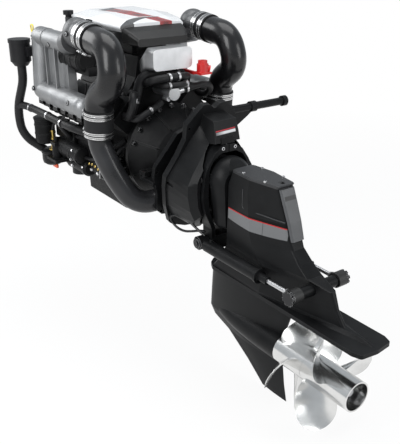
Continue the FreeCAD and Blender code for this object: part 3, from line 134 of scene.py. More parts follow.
class Finish:
    """A material with one Principled shader, built node by node."""

    def __init__(self, name):
        self.material = bpy.data.materials.new(name)
        self.material.use_nodes = True
        self.tree = self.material.node_tree
        self.shader = self.tree.nodes["Principled BSDF"]
        place = self.node("ShaderNodeTexCoord").made.outputs["Object"]
        self.place = Channel(self, place)
        parts = self.node("ShaderNodeSeparateXYZ", {}, {0: self.place})
        self.x, self.y, self.z = parts.out(0), parts.out(1), parts.out(2)

    def node(self, kind, settings=None, values=None):
        made = self.tree.nodes.new(kind)
        for key, value in (settings or {}).items():
            setattr(made, key, value)
        for key, value in (values or {}).items():
            self.feed(made.inputs[key], value)
        return Made(self, made)

    def feed(self, socket, value):
        if isinstance(value, Channel):
            self.tree.links.new(value.socket, socket)
        else:
            socket.default_value = value

    def set(self, key, value):
        self.feed(self.shader.inputs[key], value)

    def noise(self, scale, detail=3.0, where=None):
        values = {"Vector": where or self.place, "Scale": scale, "Detail": detail}
        return self.node("ShaderNodeTexNoise", {}, values).out("Fac")

    def mix(self, factor, first, second):
        values = {0: factor, 6: shade(first), 7: shade(second)}
        return self.node("ShaderNodeMix", {"data_type": "RGBA"}, values).out(2)

    def blur_edge(self, radius):
        """1 on sharp edges, 0 on open faces."""
        rounded = self.node("ShaderNodeBevel", {"samples": 4}, {"Radius": radius}).out(0)
        flat = self.node("ShaderNodeNewGeometry").out("Normal")
        dot = {"operation": "DOT_PRODUCT"}
        agree = self.node("ShaderNodeVectorMath", dot, {0: rounded, 1: flat}).out("Value")
        return agree.step(0.995, 0.93)

    def bump(self, height, distance):
        values = {"Height": height, "Distance": distance, "Strength": 1.0}
        self.set("Normal", self.node("ShaderNodeBump", {}, values).out("Normal"))


def shade(colour):
    """A grey level or an RGB triple made a colour; a link passes through."""
    if isinstance(colour, Channel):
        return colour
    if isinstance(colour, (int, float)):
        colour = (colour,) * 3
    return tuple(colour) + (1.0,)

print("shader arithmetic ready")

# %% [markdown]
# Most surfaces here are one of a few kinds: painted or cast metal, moulded rubber and
# plastic, and bright steel. One recipe covers them: a base colour that clouds softly into a
# second one, wear that lightens sharp edges, a roughness that wanders, and a fine grain.

# %% A recipe for workshop finishes
def surface(name, colour, second, rough, metal=0.0, cloud=14.0, grain=900.0, depth=0.0002, wear=0.5,
            bare=0.35, coat=0.0, paint=None, shine=0.5):
    finish = Finish(name)
    clouds = finish.noise(cloud, 4)
    base = finish.mix(clouds.step(0.3, 0.7), colour, second)
    if paint:
        base = paint(finish, base)
    fine = finish.noise(grain, 2)
    if wear:
        edge = finish.blur_edge(0.0016) * (finish.noise(60, 3) + 0.25) * wear
        base = finish.mix(edge.clamp(), base, bare)
    finish.set("Base Color", base)
    finish.set("Metallic", metal)
    finish.set("Specular IOR Level", shine)
    finish.set("Roughness", (clouds - 0.5) * 0.22 + (fine - 0.5) * 0.1 + rough)
    if coat:
        finish.set("Coat Weight", coat)
        finish.set("Coat Roughness", 0.08)
    finish.bump(fine + clouds * 0.4, depth)
    return finish.material

print("recipe ready")

# %% [markdown]
# The drive's castings wear a satin black sea paint. On each side of the upper housing runs a
# plain sticker: a grey field with a black sweep over it and a thin red line between. It is
# painted by position, between two curves that fall towards the back, so it needs no mesh.

# %% Castings and their side stripe
def side_stripe(finish, base):
    aft = finish.y * -1 - 0.240
    top = aft * aft * 0.10 - 0.089
    foot = (aft * 0.42 - 0.10) * aft - 0.129
    sides = (finish.x.math("ABSOLUTE") > 0.03) * finish.y.within(-0.541, -0.246)
    below = top - finish.z
    field = (below > 0) * (finish.z - foot > 0) * sides
    base = finish.mix(field, base, (0.15, 0.152, 0.155))
    sweep = (below < 0) * (below + aft * 0.035 + 0.005 > 0) * sides
    base = finish.mix(sweep, base, 0.0015)
    line = below.within(-0.0018, 0.0020) * sides
    base = finish.mix(line, base, (0.42, 0.025, 0.025))
    seam = (finish.y + 0.435).math("ABSOLUTE") < 0.0009
    return finish.mix(seam * field, base, 0.03)

def box_stripe(finish, base):
    """A plain red line over a pale bar, low on the face of the steering box."""
    face = finish.x.within(-0.050, 0.041) * (finish.y < -0.148) * (finish.z > 0.15)
    rise = finish.z - finish.x * 0.04
    base = finish.mix(rise.within(0.176, 0.180) * face, base, (0.40, 0.03, 0.04))
    pale = rise.within(0.164, 0.174, 0.001) * face * (finish.x + 0.06).step(0.0, 0.05)
    return finish.mix(pale, base, (0.62, 0.62, 0.63))

SEA_BLACK = (0.005, 0.0052, 0.0056)
SEA_BLACK_CLOUDS = (0.009, 0.0094, 0.010)
sea_paint = {"grain": 520.0, "depth": 0.00015, "wear": 0.5, "bare": 0.07, "shine": 0.13}
black_paint = surface("sea_black_paint", SEA_BLACK, SEA_BLACK_CLOUDS, 0.40, **sea_paint)
box_paint = surface("housing_black_paint", SEA_BLACK, SEA_BLACK_CLOUDS, 0.40, paint=box_stripe, **sea_paint)
leg_paint = surface("striped_black_paint", SEA_BLACK, (0.008, 0.0084, 0.009), 0.40, paint=side_stripe,
                    **sea_paint)
print(black_paint.name, leg_paint.name)

# %% [markdown]
# The top cover and the cap strip down the back are moulded in dark grey. Two shallow pockets in them hold a
# fill plug and an inspection slot; the recesses are not modelled and are shown by painted shade, darker
# patches on the grey.

# %% Grey covers
def cover_pocket_shade(finish, base):
    # The pocket and the slot are painted darker than the cover: painted shade in the two recesses.
    pocket_shade = finish.x.within(-0.011, 0.011) * finish.y.within(-0.470, -0.452) * (finish.z > 0.055)
    slot = finish.x.within(-0.024, 0.024) * finish.z.within(0.012, 0.026, 0.001) * (finish.y < -0.49)
    return finish.mix((pocket_shade + slot).clamp(), base, 0.006)

cover_grey = surface("moulded_grey_cover", (0.020, 0.0205, 0.022), (0.028, 0.029, 0.031), 0.42, grain=1500.0,
                     depth=0.0001, wear=0.3, bare=0.12, paint=cover_pocket_shade, shine=0.35)
strip_grey = surface("moulded_grey_strip", (0.050, 0.051, 0.054), (0.066, 0.068, 0.071), 0.36, grain=1500.0,
                     depth=0.0001, wear=0.35, bare=0.25, paint=cover_pocket_shade)
print(cover_grey.name)

# %% [markdown]
# The hood is white gloss with one tapering stripe along it: deep red round a black core.
# The aft end breaks up into slanted fields. Only plain shapes are kept.

# %% Hood paint
def hood_stripe(finish, base):
    forward = 0.64 - finish.y
    centre = forward * forward * 1.2 - 0.046
    half = (finish.y - 0.34) * 0.05 + 0.030
    off = (finish.x - centre).math("ABSOLUTE")
    nose = (finish.x - centre) * 0.45 + 0.652 - finish.y
    stripe = (half - off).step(0.0, 0.001) * (finish.z > 0.48) * (nose > 0)
    base = finish.mix(stripe, base, (0.30, 0.006, 0.008))
    core = (half * 0.7 - off).step(0.0, 0.02) * finish.noise(24, 2).step(0.35, 0.6) + (0.05 - nose > 0)
    base = finish.mix((core * stripe).clamp(), base, (0.012, 0.002, 0.003))
    crest = 0.408 - finish.x * finish.x * 3
    groove_width = 0.018 - finish.x * 0.25
    groove = (crest - finish.y > 0) * (finish.y - crest + groove_width > 0) * (finish.x < 0.075)
    left = (crest - finish.y > 0) * (finish.x < -0.088)
    base = finish.mix((crest - finish.y).within(-0.006, 0.0) * (finish.x < 0.09), base, 0.72)
    return finish.mix(((groove + left) * (finish.z > 0.47)).clamp(), base, (0.045, 0.046, 0.048))

hood_white = surface("white_hood_gloss", (0.74, 0.75, 0.76), (0.68, 0.69, 0.70), 0.26, grain=700.0,
                     depth=0.00005, wear=0.0, coat=0.5, paint=hood_stripe)
print(hood_white.name)

# %% [markdown]
# Cast aluminium on the exhaust manifold is a mid grey with fine pits, soft clouds and paler
# edges; the riser is darker, and the castings at the back are bright. The elbows are cast
# too, under a smooth black enamel with a thin coat and almost no grain.

# %% Cast aluminium, enamel, rubber and plastic
def dark_lobes(finish, base):
    """Black below the log, where the flange meets the head."""
    return finish.mix((0.160 - finish.z).step(0.0, 0.003), base, 0.012)

def dark_fascia(finish, base):
    """Black on the fascia that closes the hood's aft end."""
    return finish.mix((0.345 - finish.y).step(0.0, 0.002), base, 0.006)

sand_cast = {"grain": 1100.0, "depth": 0.00035, "wear": 0.6}
enamel = {"grain": 240.0, "depth": 0.0001, "wear": 0.2, "shine": 0.3}
log_aluminium = surface("painted_cast_aluminium", (0.31, 0.315, 0.32), (0.22, 0.225, 0.23), 0.40, metal=0.8,
                        cloud=12.0, bare=0.6, paint=dark_lobes, **sand_cast)
riser_grey = surface("dark_cast_aluminium", (0.15, 0.152, 0.155), (0.10, 0.102, 0.105), 0.42, metal=0.7,
                     cloud=12.0, bare=0.5, **sand_cast)
cast_aluminium = surface("bright_cast_aluminium", (0.62, 0.63, 0.64), (0.50, 0.51, 0.52), 0.34, metal=0.85,
                         cloud=18.0, bare=0.85, **sand_cast)
black_enamel = surface("black_enamel", (0.005, 0.005, 0.0055), (0.009, 0.009, 0.010), 0.30, bare=0.08,
                       coat=0.22, **enamel)
pipe_paint = surface("grey_black_enamel", (0.014, 0.014, 0.015), (0.022, 0.022, 0.024), 0.32, bare=0.12,
                     coat=0.15, **enamel)
engine_black = surface("engine_black", (0.005, 0.0052, 0.0054), (0.010, 0.010, 0.0105), 0.42, grain=700.0,
                       depth=0.0005, wear=0.7, bare=0.08, shine=0.12)
shoulder_grey = surface("gunmetal_shoulders", (0.030, 0.031, 0.032), (0.044, 0.045, 0.047), 0.40,
                        grain=1300.0, depth=0.0002, wear=0.4, bare=0.18, shine=0.35, paint=dark_fascia)
rubber = surface("moulded_rubber", (0.012, 0.012, 0.0125), (0.020, 0.020, 0.021), 0.58, grain=1600.0,
                 depth=0.0003, wear=0.3, bare=0.06, shine=0.15)
hose_rubber = surface("hose_rubber", (0.010, 0.010, 0.0105), (0.018, 0.018, 0.019), 0.44, grain=1600.0,
                      depth=0.0003, wear=0.2, bare=0.06, shine=0.2)
black_plastic = surface("black_plastic", (0.008, 0.008, 0.009), (0.014, 0.014, 0.015), 0.40, grain=1800.0,
                        depth=0.0002, wear=0.4, bare=0.08, shine=0.18)
red_plastic = surface("red_cap_plastic", (0.62, 0.014, 0.014), (0.50, 0.010, 0.010), 0.34, grain=900.0,
                      depth=0.0001, wear=0.3, bare=(0.9, 0.2, 0.15), coat=0.3)
yellow_plastic = surface("yellow_plastic", (0.85, 0.68, 0.02), (0.75, 0.58, 0.02), 0.36, wear=0.2,
                         bare=(0.95, 0.85, 0.3))
orange_plastic = surface("orange_plastic", (0.80, 0.13, 0.05), (0.70, 0.10, 0.04), 0.36, wear=0.2,
                         bare=(0.95, 0.4, 0.3))
brass = surface("brass", (0.60, 0.44, 0.14), (0.50, 0.36, 0.10), 0.30, metal=1.0, wear=0.5,
                bare=(0.85, 0.7, 0.35))
zinc = surface("zinc", (0.36, 0.37, 0.38), (0.26, 0.27, 0.28), 0.5, metal=0.7, grain=400.0, depth=0.0006,
               wear=0.4, bare=0.6)
print("cast, moulded and enamelled finishes ready")

# %% [markdown]
# Propeller steel is polished by belt along the blades, so its highlights are drawn out and
# carry very fine lines. Plain steel on rods and shafts is ground round, and duller. The
# eyes at the aft ends of the trim rods are painted black.

# %% Bright steel
def bright(name, colour, rough, grain, stretch, painted=None):
    """Brushed metal; painted gives 1 where a black paint covers it."""
    finish = Finish(name)
    turned = finish.node("ShaderNodeMapping", {}, {"Vector": finish.place, "Scale": stretch}).out(0)
    lines = finish.noise(grain, 2, turned)
    soft = finish.noise(11, 3)
    base = finish.mix(soft.step(0.3, 0.7), colour, tuple(c * 0.82 for c in colour))
    edge = finish.blur_edge(0.001) * 0.6
    base = finish.mix(edge, base, 0.95)
    if painted:
        black = painted(finish)
        base = finish.mix(black, base, 0.006)
        finish.set("Metallic", 1 - black)
        rough = black * 0.2 + rough
    else:
        finish.set("Metallic", 1.0)
    finish.set("Base Color", base)
    finish.set("Roughness", lines * 0.14 + soft * 0.08 + rough)
    finish.bump(lines, 0.00006)
    return finish.material

def black_eye(finish):
    return (finish.y * -1).step(0.624, 0.630)

polished = bright("polished_propeller_steel", (0.80, 0.80, 0.79), 0.10, 300.0, (1.0, 0.08, 1.0))
steel = bright("ground_steel", (0.62, 0.62, 0.63), 0.22, 700.0, (0.2, 1.0, 1.0))
eye_steel = bright("rod_steel_with_black_eye", (0.62, 0.62, 0.63), 0.22, 700.0, (0.2, 1.0, 1.0), black_eye)
dark_steel = bright("darkened_steel", (0.05, 0.05, 0.052), 0.30, 500.0, (0.3, 1.0, 1.0))
print(polished.name, steel.name)

# %% [markdown]
# Now each solid takes its finish. The solids keep their own mesh and place; only the
# material in their slot changes.

# %% Finishes on the solids
finishes = {
    box_paint: "gimbal_housing",
    black_paint: """gimbal_ring bell_housing lower_gearcase trim_cylinders inner_transom_plate
                    steering_tube""",
    leg_paint: "upper_housing",
    cover_grey: "top_cover",
    strip_grey: "rear_cover",
    log_aluminium: "exhaust_manifolds",
    riser_grey: "exhaust_risers",
    cast_aluminium: "plenum_end thermostat_housing",
    black_enamel: "exhaust_elbows",
    pipe_paint: "exhaust_pipes",
    engine_black: """engine_block cylinder_heads oil_pan timing_cover flywheel_housing intake_manifold
                     starter_motor water_pumps front_mounts rocker_covers""",
    hood_white: "engine_cover",
    shoulder_grey: "cover_trim",
    rubber: "drive_bellows aft_bushes exhaust_hoses rear_mounts serpentine_belt",
    hose_rubber: "coolant_hoses",
    steel: """gimbal_bearing pivot_pins steering_lever steering_rod front_yoke joint_cross input_shaft
              vertical_shaft prop_shaft_outer prop_shaft_inner prop_nut crankshaft flywheel
              alternator_pulley pump_pulley hose_clamps""",
    eye_steel: "trim_rods",
    dark_steel: "front_anchor_pin aft_anchor_pin",
    polished: "front_propeller rear_propeller",
    zinc: "alternator_body",
    red_plastic: "terminal_cover",
    black_plastic: "filter_canisters fill_cap trim_anode",
}
dressed = set()
for material, names in finishes.items():
    for name in names.split():
        part = nodes[name]
        if not part.material_slots:
            part.data.materials.append(material)
        for slot in part.material_slots:
            slot.material = material
        dressed.add(name)
print("dressed", len(dressed), "left", sorted(set(nodes) - dressed))

# %% [markdown]
# Small round parts come from one helper: a half profile spun about its axis, then laid along
# a direction. Screws, rings, plugs and clamps all start so.

# %% Turning and placing
def aimed(at, direction):
    """The turn and shift that take +Z at the origin to a direction at a point."""
    return Matrix.Translation(at) @ Vector(direction).to_track_quat("Z", "Y").to_matrix().to_4x4()

def spun(mesh, profile, place, steps=20, slot=0):
    """Spins (radius, height) points in millimetres about Z and lays the shape in place."""
    corners = [mesh.verts.new((r / 1000, 0, h / 1000)) for r, h in profile]
    edges = [mesh.edges.new(pair) for pair in zip(corners, corners[1:])]
    bmesh.ops.spin(mesh, geom=corners + edges, cent=(0, 0, 0), axis=(0, 0, 1), angle=math.tau,
                   steps=steps, use_merge=True)
    found = set(corners)
    front = list(corners)
    while front:
        for edge in front.pop().link_edges:
            for vert in edge.verts:
                if vert not in found:
                    found.add(vert)
                    front.append(vert)
    for face in {f for v in found for f in v.link_faces}:
        face.material_index = slot
    bmesh.ops.transform(mesh, matrix=place, verts=list(found))

CREASE = math.radians(32)

def settle(name, mesh, body, materials):
    """Merges, turns faces outwards, smooths all but the creases, and rides on a body."""
    bmesh.ops.remove_doubles(mesh, verts=mesh.verts, dist=0.000005)
    bmesh.ops.recalc_face_normals(mesh, faces=mesh.faces)
    for face in mesh.faces:
        face.smooth = True
    for edge in mesh.edges:
        if len(edge.link_faces) == 2 and edge.calc_face_angle(0) > CREASE:
            edge.smooth = False
    data = bpy.data.meshes.new(name)
    mesh.to_mesh(data)
    mesh.free()
    for material in materials:
        data.materials.append(material)
    piece = bpy.data.objects.new(name, data)
    bpy.context.scene.collection.objects.link(piece)
    if body:
        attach(piece, body)
    print(name, "faces", len(data.polygons))
    return piece

# %% [markdown]
# A cap screw is a round head with a hexagon socket, and a hexagon bolt has a washer face
# under a head with its corners turned off. Both are seen from far away, so they stay light.

# %% Screws and bolts
def cap_screw(mesh, at, direction, radius, height):
    place = aimed(at, direction)
    r, h = radius, height
    spun(mesh, [(r, -1), (r, h - 1), (r - 1, h), (r * 0.55, h)], place, 18)
    spun(mesh, [(r * 0.55, h), (r * 0.5, h * 0.4), (0, h * 0.4)], place, 6, 1)

def hex_bolt(mesh, at, direction, across, height, washer=True):
    place = aimed(at, direction)
    r = across / 2 / math.cos(math.radians(30))
    spun(mesh, [(r, 1), (r, height - 1.2), (r * 0.82, height), (0, height)], place, 6)
    if washer:
        spun(mesh, [(r * 1.18, -0.5), (r * 1.18, 1.2), (r, 1.5), (0, 1.5)], place, 18)

ring_bolts = bmesh.new()
for x in (-28, 28):
    cap_screw(ring_bolts, mm(x, -171.5, 113), (0, -1, 0), 7, 3.5)
settle("ring_clamp_bolts", ring_bolts, "steer_ring", [steel, black_plastic])

cover_screws = bmesh.new()
for x, y in ((50, -312), (-50, -312), (49, -426), (-49, -426)):
    cap_screw(cover_screws, mm(x * 0.86, y, 60.8), (0, 0, 1), 6, 4.5)
settle("top_cover_screws", cover_screws, "drive_leg", [steel, black_plastic])

# %% [markdown]
# Each rubber coupling on the exhaust is held by four band clamps. A band is a strip with a
# row of slots that a worm screw drives, and its housing stands proud of it. The slots are
# painted on the band's own UV map, since the bands lie at different angles.

# %% Band clamps
def slotted_band():
    finish = Finish("slotted_band_steel")
    spot = finish.node("ShaderNodeUVMap", {"uv_map": "band"})
    parts = finish.node("ShaderNodeSeparateXYZ", {}, {0: spot.out(0)})
    along, across = parts.out(0), parts.out(1)
    slots = (along * 90).math("FRACT").within(0.3, 0.85, 0.06) * across.within(0.30, 0.70, 0.03)
    lips = across.within(0.06, 0.94, 0.03)
    base = finish.mix(finish.noise(40, 3), 0.80, 0.62)
    base = finish.mix(slots, base, 0.06)
    finish.set("Base Color", finish.mix(1 - lips, base, 0.35))
    finish.set("Metallic", 1.0)
    finish.set("Roughness", slots * 0.3 + finish.noise(500, 2) * 0.1 + 0.2)
    finish.bump(slots * -1, 0.0006)
    return finish.material

band_steel = slotted_band()
BAND_RADIUS = 58.5
BAND_WIDTH = 11

def band_clamp(name, start, run, worm_at):
    """A slotted band round a hose, with its worm housing at an angle round it."""
    radius, width = BAND_RADIUS, BAND_WIDTH
    mesh = bmesh.new()
    place = aimed(start, run)
    map_layer = mesh.loops.layers.uv.new("band")
    half = [(radius, 0.4), (radius + 1.2, 0), (radius + 1.2, width), (radius, width - 0.4)]
    spun(mesh, half, Matrix.Identity(4), 64)
    for face in mesh.faces:
        middle = face.calc_center_median()
        turn = math.atan2(middle.y, middle.x)
        for loop in face.loops:
            spot = loop.vert.co
            near = (math.atan2(spot.y, spot.x) - turn + math.pi) % math.tau - math.pi
            loop[map_layer].uv = ((turn + near) / math.tau, spot.z * 1000 / width)
    turn = math.radians(worm_at)
    radial = Vector((math.cos(turn), math.sin(turn), 0))
    tangent = Vector((-math.sin(turn), math.cos(turn), 0))
    seat = radial * (radius + 4.2) / 1000 + Vector((0, 0, width / 2000))
    frame_turn = Matrix((tangent, Vector((0, 0, 1)), radial)).transposed().to_4x4()
    made = bmesh.ops.create_cube(mesh, size=1, matrix=Matrix.Translation(seat) @ frame_turn
                                 @ Matrix.Diagonal((0.022, width * 0.00105, 0.0075, 1)))
    edges = {e for v in made["verts"] for e in v.link_edges}
    bmesh.ops.bevel(mesh, geom=list(edges), offset=0.0014, segments=2, profile=0.5, affect="EDGES",
                    material=-1)
    screw = aimed(seat - tangent * 0.016 + radial * 0.0005, tangent)
    spun(mesh, [(0, 0), (2.6, 0), (3.4, 0.8), (3.4, 5), (2.4, 6), (2.4, 30), (0, 31)], screw, 8)
    for face in mesh.faces:
        if face.calc_center_median().xy.length > (radius + 1.3) / 1000:
            face.material_index = 1
    bmesh.ops.transform(mesh, matrix=place, verts=mesh.verts)
    return settle(name, mesh, "powerhead", [band_steel, steel])

couplings = []
for side, top_worm in ((-1, 250), (1, 290)):
    couplings.append((mm(side * 280, 400, 475.4), mm(side * 280, 318, 467), top_worm))
    couplings.append((mm(side * 299, 276.5, 209), mm(side * 299, 286, 98), 60))
clamp_number = 0
for start, end, worm in couplings:
    run = (end - start).normalized()
    length = (end - start).length * 1000
    for offset in (5, 20, length - 20 - BAND_WIDTH, length - 5 - BAND_WIDTH):
        clamp_number += 1
        band_clamp(f"band_clamp_{clamp_number}", start + run * offset / 1000, run, worm)
print("clamps", clamp_number)
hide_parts("hose_clamps")

# %% [markdown]
# Hoses, looms and thin pipes are a circle pushed along a smooth line. The ring is extruded
# from station to station and turned only as much as the line turns, so it never twists.
# A loom in ribbed conduit is the same sweep with its radius stepping in and out.

# %% Sweeping a hose
def smooth_line(points, steps):
    knots = [mm(*point) for point in points]
    knots = [knots[0] * 2 - knots[1]] + knots + [knots[-1] * 2 - knots[-2]]
    line = []
    for a, b, c, d in zip(knots, knots[1:], knots[2:], knots[3:]):
        for step in range(steps):
            t = step / steps
            line.append(b + (c - a) * (t / 2) + (a - b * 2.5 + c * 2 - d * 0.5) * t * t
                        + ((b - c) * 1.5 + (d - a) / 2) * t ** 3)
    return line + [knots[-2]]

def tube(mesh, points, radius, slot=0, sides=12, steps=6, ribs=0.0):
    sweep(mesh, smooth_line(points, steps), radius, slot, sides, ribs)

def sweep(mesh, line, radius, slot=0, sides=12, ribs=0.0):
    """Pushes a circle along a line of points; ribs is the share by which it swells."""
    along = (line[1] - line[0]).normalized()
    ring = bmesh.ops.create_circle(mesh, segments=sides, radius=radius / 1000, cap_ends=True,
                                   matrix=aimed(line[0], along))["verts"]
    edges = list({edge for vert in ring for edge in vert.link_edges})
    for face in ring[0].link_faces:
        face.material_index = slot
    for number, (last, here) in enumerate(zip(line, line[1:])):
        ahead = (line[min(number + 2, len(line) - 1)] - last).normalized()
        turn = along.rotation_difference(ahead).to_matrix().to_4x4()
        made = bmesh.ops.extrude_edge_only(mesh, edges=edges)["geom"]
        ring = [part for part in made if isinstance(part, bmesh.types.BMVert)]
        far = set(ring)
        edges = [part for part in made if isinstance(part, bmesh.types.BMEdge) and set(part.verts) <= far]
        for part in made:
            if isinstance(part, bmesh.types.BMFace):
                part.material_index = slot
        step = Matrix.Translation(here) @ turn @ Matrix.Translation(-last)
        bmesh.ops.transform(mesh, matrix=step, verts=ring)
        if ribs:
            swell = 1 + ribs if number % 2 == 0 else 1 / (1 + ribs)
            bmesh.ops.scale(mesh, vec=(swell,) * 3, space=Matrix.Translation(-here), verts=ring)
        along = ahead
    for face in bmesh.ops.contextual_create(mesh, geom=edges)["faces"]:
        face.material_index = slot

def ring_of(mesh, at, along, radius, width, height=1.2, slot=0, steps=20):
    """A plain ring, such as a small clamp or a hose bead, centred at a point."""
    half = width / 2
    outer = radius + height
    spun(mesh, [(radius - 1, -half), (outer, -half), (outer, half), (radius - 1, half)],
         aimed(at, along), steps, slot)

def block(mesh, centre, size, round_off=2.0, slot=0):
    """A small moulded box with its edges rounded."""
    place = Matrix.Translation(mm(*centre)) @ Matrix.Diagonal(tuple(v / 1000 for v in size) + (1,))
    made = bmesh.ops.create_cube(mesh, size=1, matrix=place)
    for face in {face for vert in made["verts"] for face in vert.link_faces}:
        face.material_index = slot
    edges = list({edge for vert in made["verts"] for edge in vert.link_edges})
    bmesh.ops.bevel(mesh, geom=edges, offset=round_off / 1000, segments=2, profile=0.5, affect="EDGES",
                    material=-1)

ridges = bmesh.new()
for side in (-1, 1):
    tube(ridges, [(side * 58.5, -328, 8), (side * 60, -331, -30), (side * 60.5, -336, -60),
                  (side * 57, -385, -60), (side * 51, -440, -58), (side * 43, -490, -58),
                  (side * 33, -526, -59)], 2.2, 0, 8, 6)
settle("housing_ridges", ridges, "drive_leg", [cover_grey])

print("hose, ring and block helpers ready")

# %% [markdown]
# The drive and exhaust bellows are each made in two lengths of folds: a front one, between housing and ring,
# and an aft one. Both stay fixed where they are made.

# %% Bellows
def folds(name, height, inner, outer, start, end, count, front_count):
    pitch = (end - start) / count
    waist = inner + (outer - inner) * 0.45
    for label, low, high, bodies in (("front", 0, front_count, ("powerhead", "steer_ring")),
                                     ("aft", front_count, count, ("steer_ring", "drive_leg"))):
        profile = [(inner, low * pitch), (waist, low * pitch)]
        for fold in range(low, high):
            for share, radius in ((0.15, outer - 2), (0.3, outer), (0.7, outer), (0.85, outer - 2),
                                  (1.0, waist)):
                profile.append((radius, (fold + share) * pitch))
        profile += [(inner, high * pitch), (inner, low * pitch)]
        mesh = bmesh.new()
        spun(mesh, profile, aimed(mm(0, -start, height), (0, -1, 0)), 48)
        piece = settle(f"{name}_bellows_{label}", mesh, None, [rubber])
        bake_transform(piece)
        if label == "aft" and name == "drive":
            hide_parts("drive_bellows")

folds("drive", 0, 59, 72, 78.5, 155.5, 4, 2)
folds("exhaust", -130, 30, 40, 62.5, 155.5, 5, 2)

# %% [markdown]
# The cast exhaust log is closed by pipe plugs. Each sits in a bright machined rim and has a
# dark socket. Under the log runs the gasket flange, whose bolts pull it to the head.

# %% Plugs and flange of the port exhaust
def pipe_plug(mesh, at, direction, radius):
    place = aimed(at, direction)
    r = radius
    spun(mesh, [(r, -2), (r, 1.4), (r * 0.92, 2.2), (r * 0.62, 1.6)], place, 20, 1)
    spun(mesh, [(r * 0.62, 1.6), (r * 0.58, 3.2), (r * 0.40, 3.6)], place, 20, 0)
    spun(mesh, [(r * 0.40, 3.6), (r * 0.36, 1.2), (0, 1.2)], place, 6, 1)

for side, label in ((-1, "port"), (1, "starboard")):
    plugs = bmesh.new()
    for y, z, lean in ((439, 211, 0.25), (790, 211, 0.25)):
        pipe_plug(plugs, mm(side * 353.6, y, z), (side, 0, lean), 11)
    for y in (625, 790):
        pipe_plug(plugs, mm(side * 334, y, 418.5), (side * 0.94, 0, -0.34), 9.5)
    pipe_plug(plugs, mm(side * 338, 436, 482), (side, -0.15, 0), 11)
    settle("exhaust_plugs_" + label, plugs, "powerhead", [cast_aluminium, engine_black])

    flange = bmesh.new()
    down = (side * 0.5, 0, -0.87)
    for number in range(8):
        y = 440 + number * 49
        bolt_foot = mm(side * 303.5, y, 136)
        spun(flange, [(0, -7), (19, -7), (20, -5), (20, 5), (19, 7), (0, 7)],
             aimed(mm(side * 300, y, 142), down), 14, 0)
        hex_bolt(flange, bolt_foot, down, 14, 10)
        spun(flange, [(7.2, 9.5), (5, 9.9), (0, 9.9)], aimed(bolt_foot, down), 6, 1)
    for number in range(7):
        block(flange, (side * 272, 462 + number * 50, 128), (46, 38, 46), 10, 0)
    block(flange, (side * 262, 618, 120), (30, 400, 34), 8, 0)
    settle("manifold_flange_bolts_" + label, flange, "powerhead", [engine_black, steel])

riser_cap = bmesh.new()
spun(riser_cap, [(13, 0), (13, 9), (11, 11), (0, 11)], aimed(mm(-240, 430, 520), (0.2, -0.1, 1)), 18)
settle("riser_cap", riser_cap, "powerhead", [black_plastic])

# %% [markdown]
# The dipstick has a yellow pull loop on a black stem, ahead of the manifold.

# %% Dipstick
dipstick = bmesh.new()
loop = [(-300, 868, 436), (-300, 858, 452), (-300, 856, 466), (-300, 862, 472), (-300, 874, 472),
        (-300, 880, 466), (-300, 878, 452), (-300, 868, 436)]
stem = [(-300, 868, 440), (-300, 868, 420), (-298, 860, 380), (-296, 840, 300), (-280, 800, 140)]
tube(dipstick, loop, 3.2, 0, 8, 4)
tube(dipstick, stem, 4.2, 1, 10)
ring_of(dipstick, mm(-300, 868, 424), (0, 0, 1), 5, 8, 4, 1, 14)
settle("dipstick", dipstick, "powerhead", [yellow_plastic, black_plastic])

# %% [markdown]
# Below the port manifold the engine's side is crowded: a raw-water hose along the block,
# a fuel filter with brass fittings, plug boots, and looms in ribbed conduit. They are small
# and dark, yet the eye misses them at once when the side is bare.

# %% Port side: water hose, fuel filter and brass
port_side = bmesh.new()
tube(port_side, [(-214, 420, 60), (-270, 420, 76), (-318, 470, 92), (-330, 600, 98), (-334, 740, 102),
                 (-346, 850, 108), (-366, 915, 112), (-378, 945, 96)], 17, 0, 16)
for y, z in ((560, 97), (700, 101), (856, 108)):
    ring_of(port_side, mm(-332 - (y > 800) * 15, y, z), (0, 1, 0.03), 17, 11, 1.6, 1)
tube(port_side, [(-300, 640, 92), (-302, 640, 60), (-262, 650, 10), (-232, 660, -20)], 11, 0, 12)
settle("raw_water_hose", port_side, "powerhead", [hose_rubber, steel])

fuel_filter = bmesh.new()
up = (0, 0, 1)
fitting = aimed(mm(-270, 820, 0), up)
spun(fuel_filter, [(0, -170), (34, -170), (47, -160), (50, -146), (50, -116), (53, -112), (53, -102),
                   (36, -94), (0, -94)], aimed(mm(-266, 846, 0), up), 32, 0)
spun(fuel_filter, [(0, -93), (22, -93), (22, -88), (17, -86), (17, -84), (0, -84)], fitting, 20, 1)
spun(fuel_filter, [(0, -86), (11, -86), (11, -70), (8, -68), (0, -68)], fitting, 6, 1)
spun(fuel_filter, [(0, -44), (10, -44), (10, -34), (7, -32), (7, -10), (10, -8), (10, 0), (0, 0)],
     aimed(mm(-270, 816, 0), up), 14, 1)
tube(fuel_filter, [(-270, 820, -68), (-270, 818, -44)], 6, 2, 10, 2)
tube(fuel_filter, [(-270, 816, -2), (-268, 800, 30), (-250, 760, 60), (-236, 700, 66)], 7, 2, 10)
block(fuel_filter, (-266, 824, -176), (12, 44, 18), 3, 3)
settle("fuel_filter", fuel_filter, "powerhead", [black_plastic, brass, hose_rubber, orange_plastic])
print("port side dressed")

# %% [markdown]
# Behind the filter hang a cooler and its bracket, and an upright oil canister stands ahead of
# them. A dark ribbed housing lies over the head, behind the manifold. Small fastenings catch
# the light on them, and a row of bolts follows the rail of the oil pan.

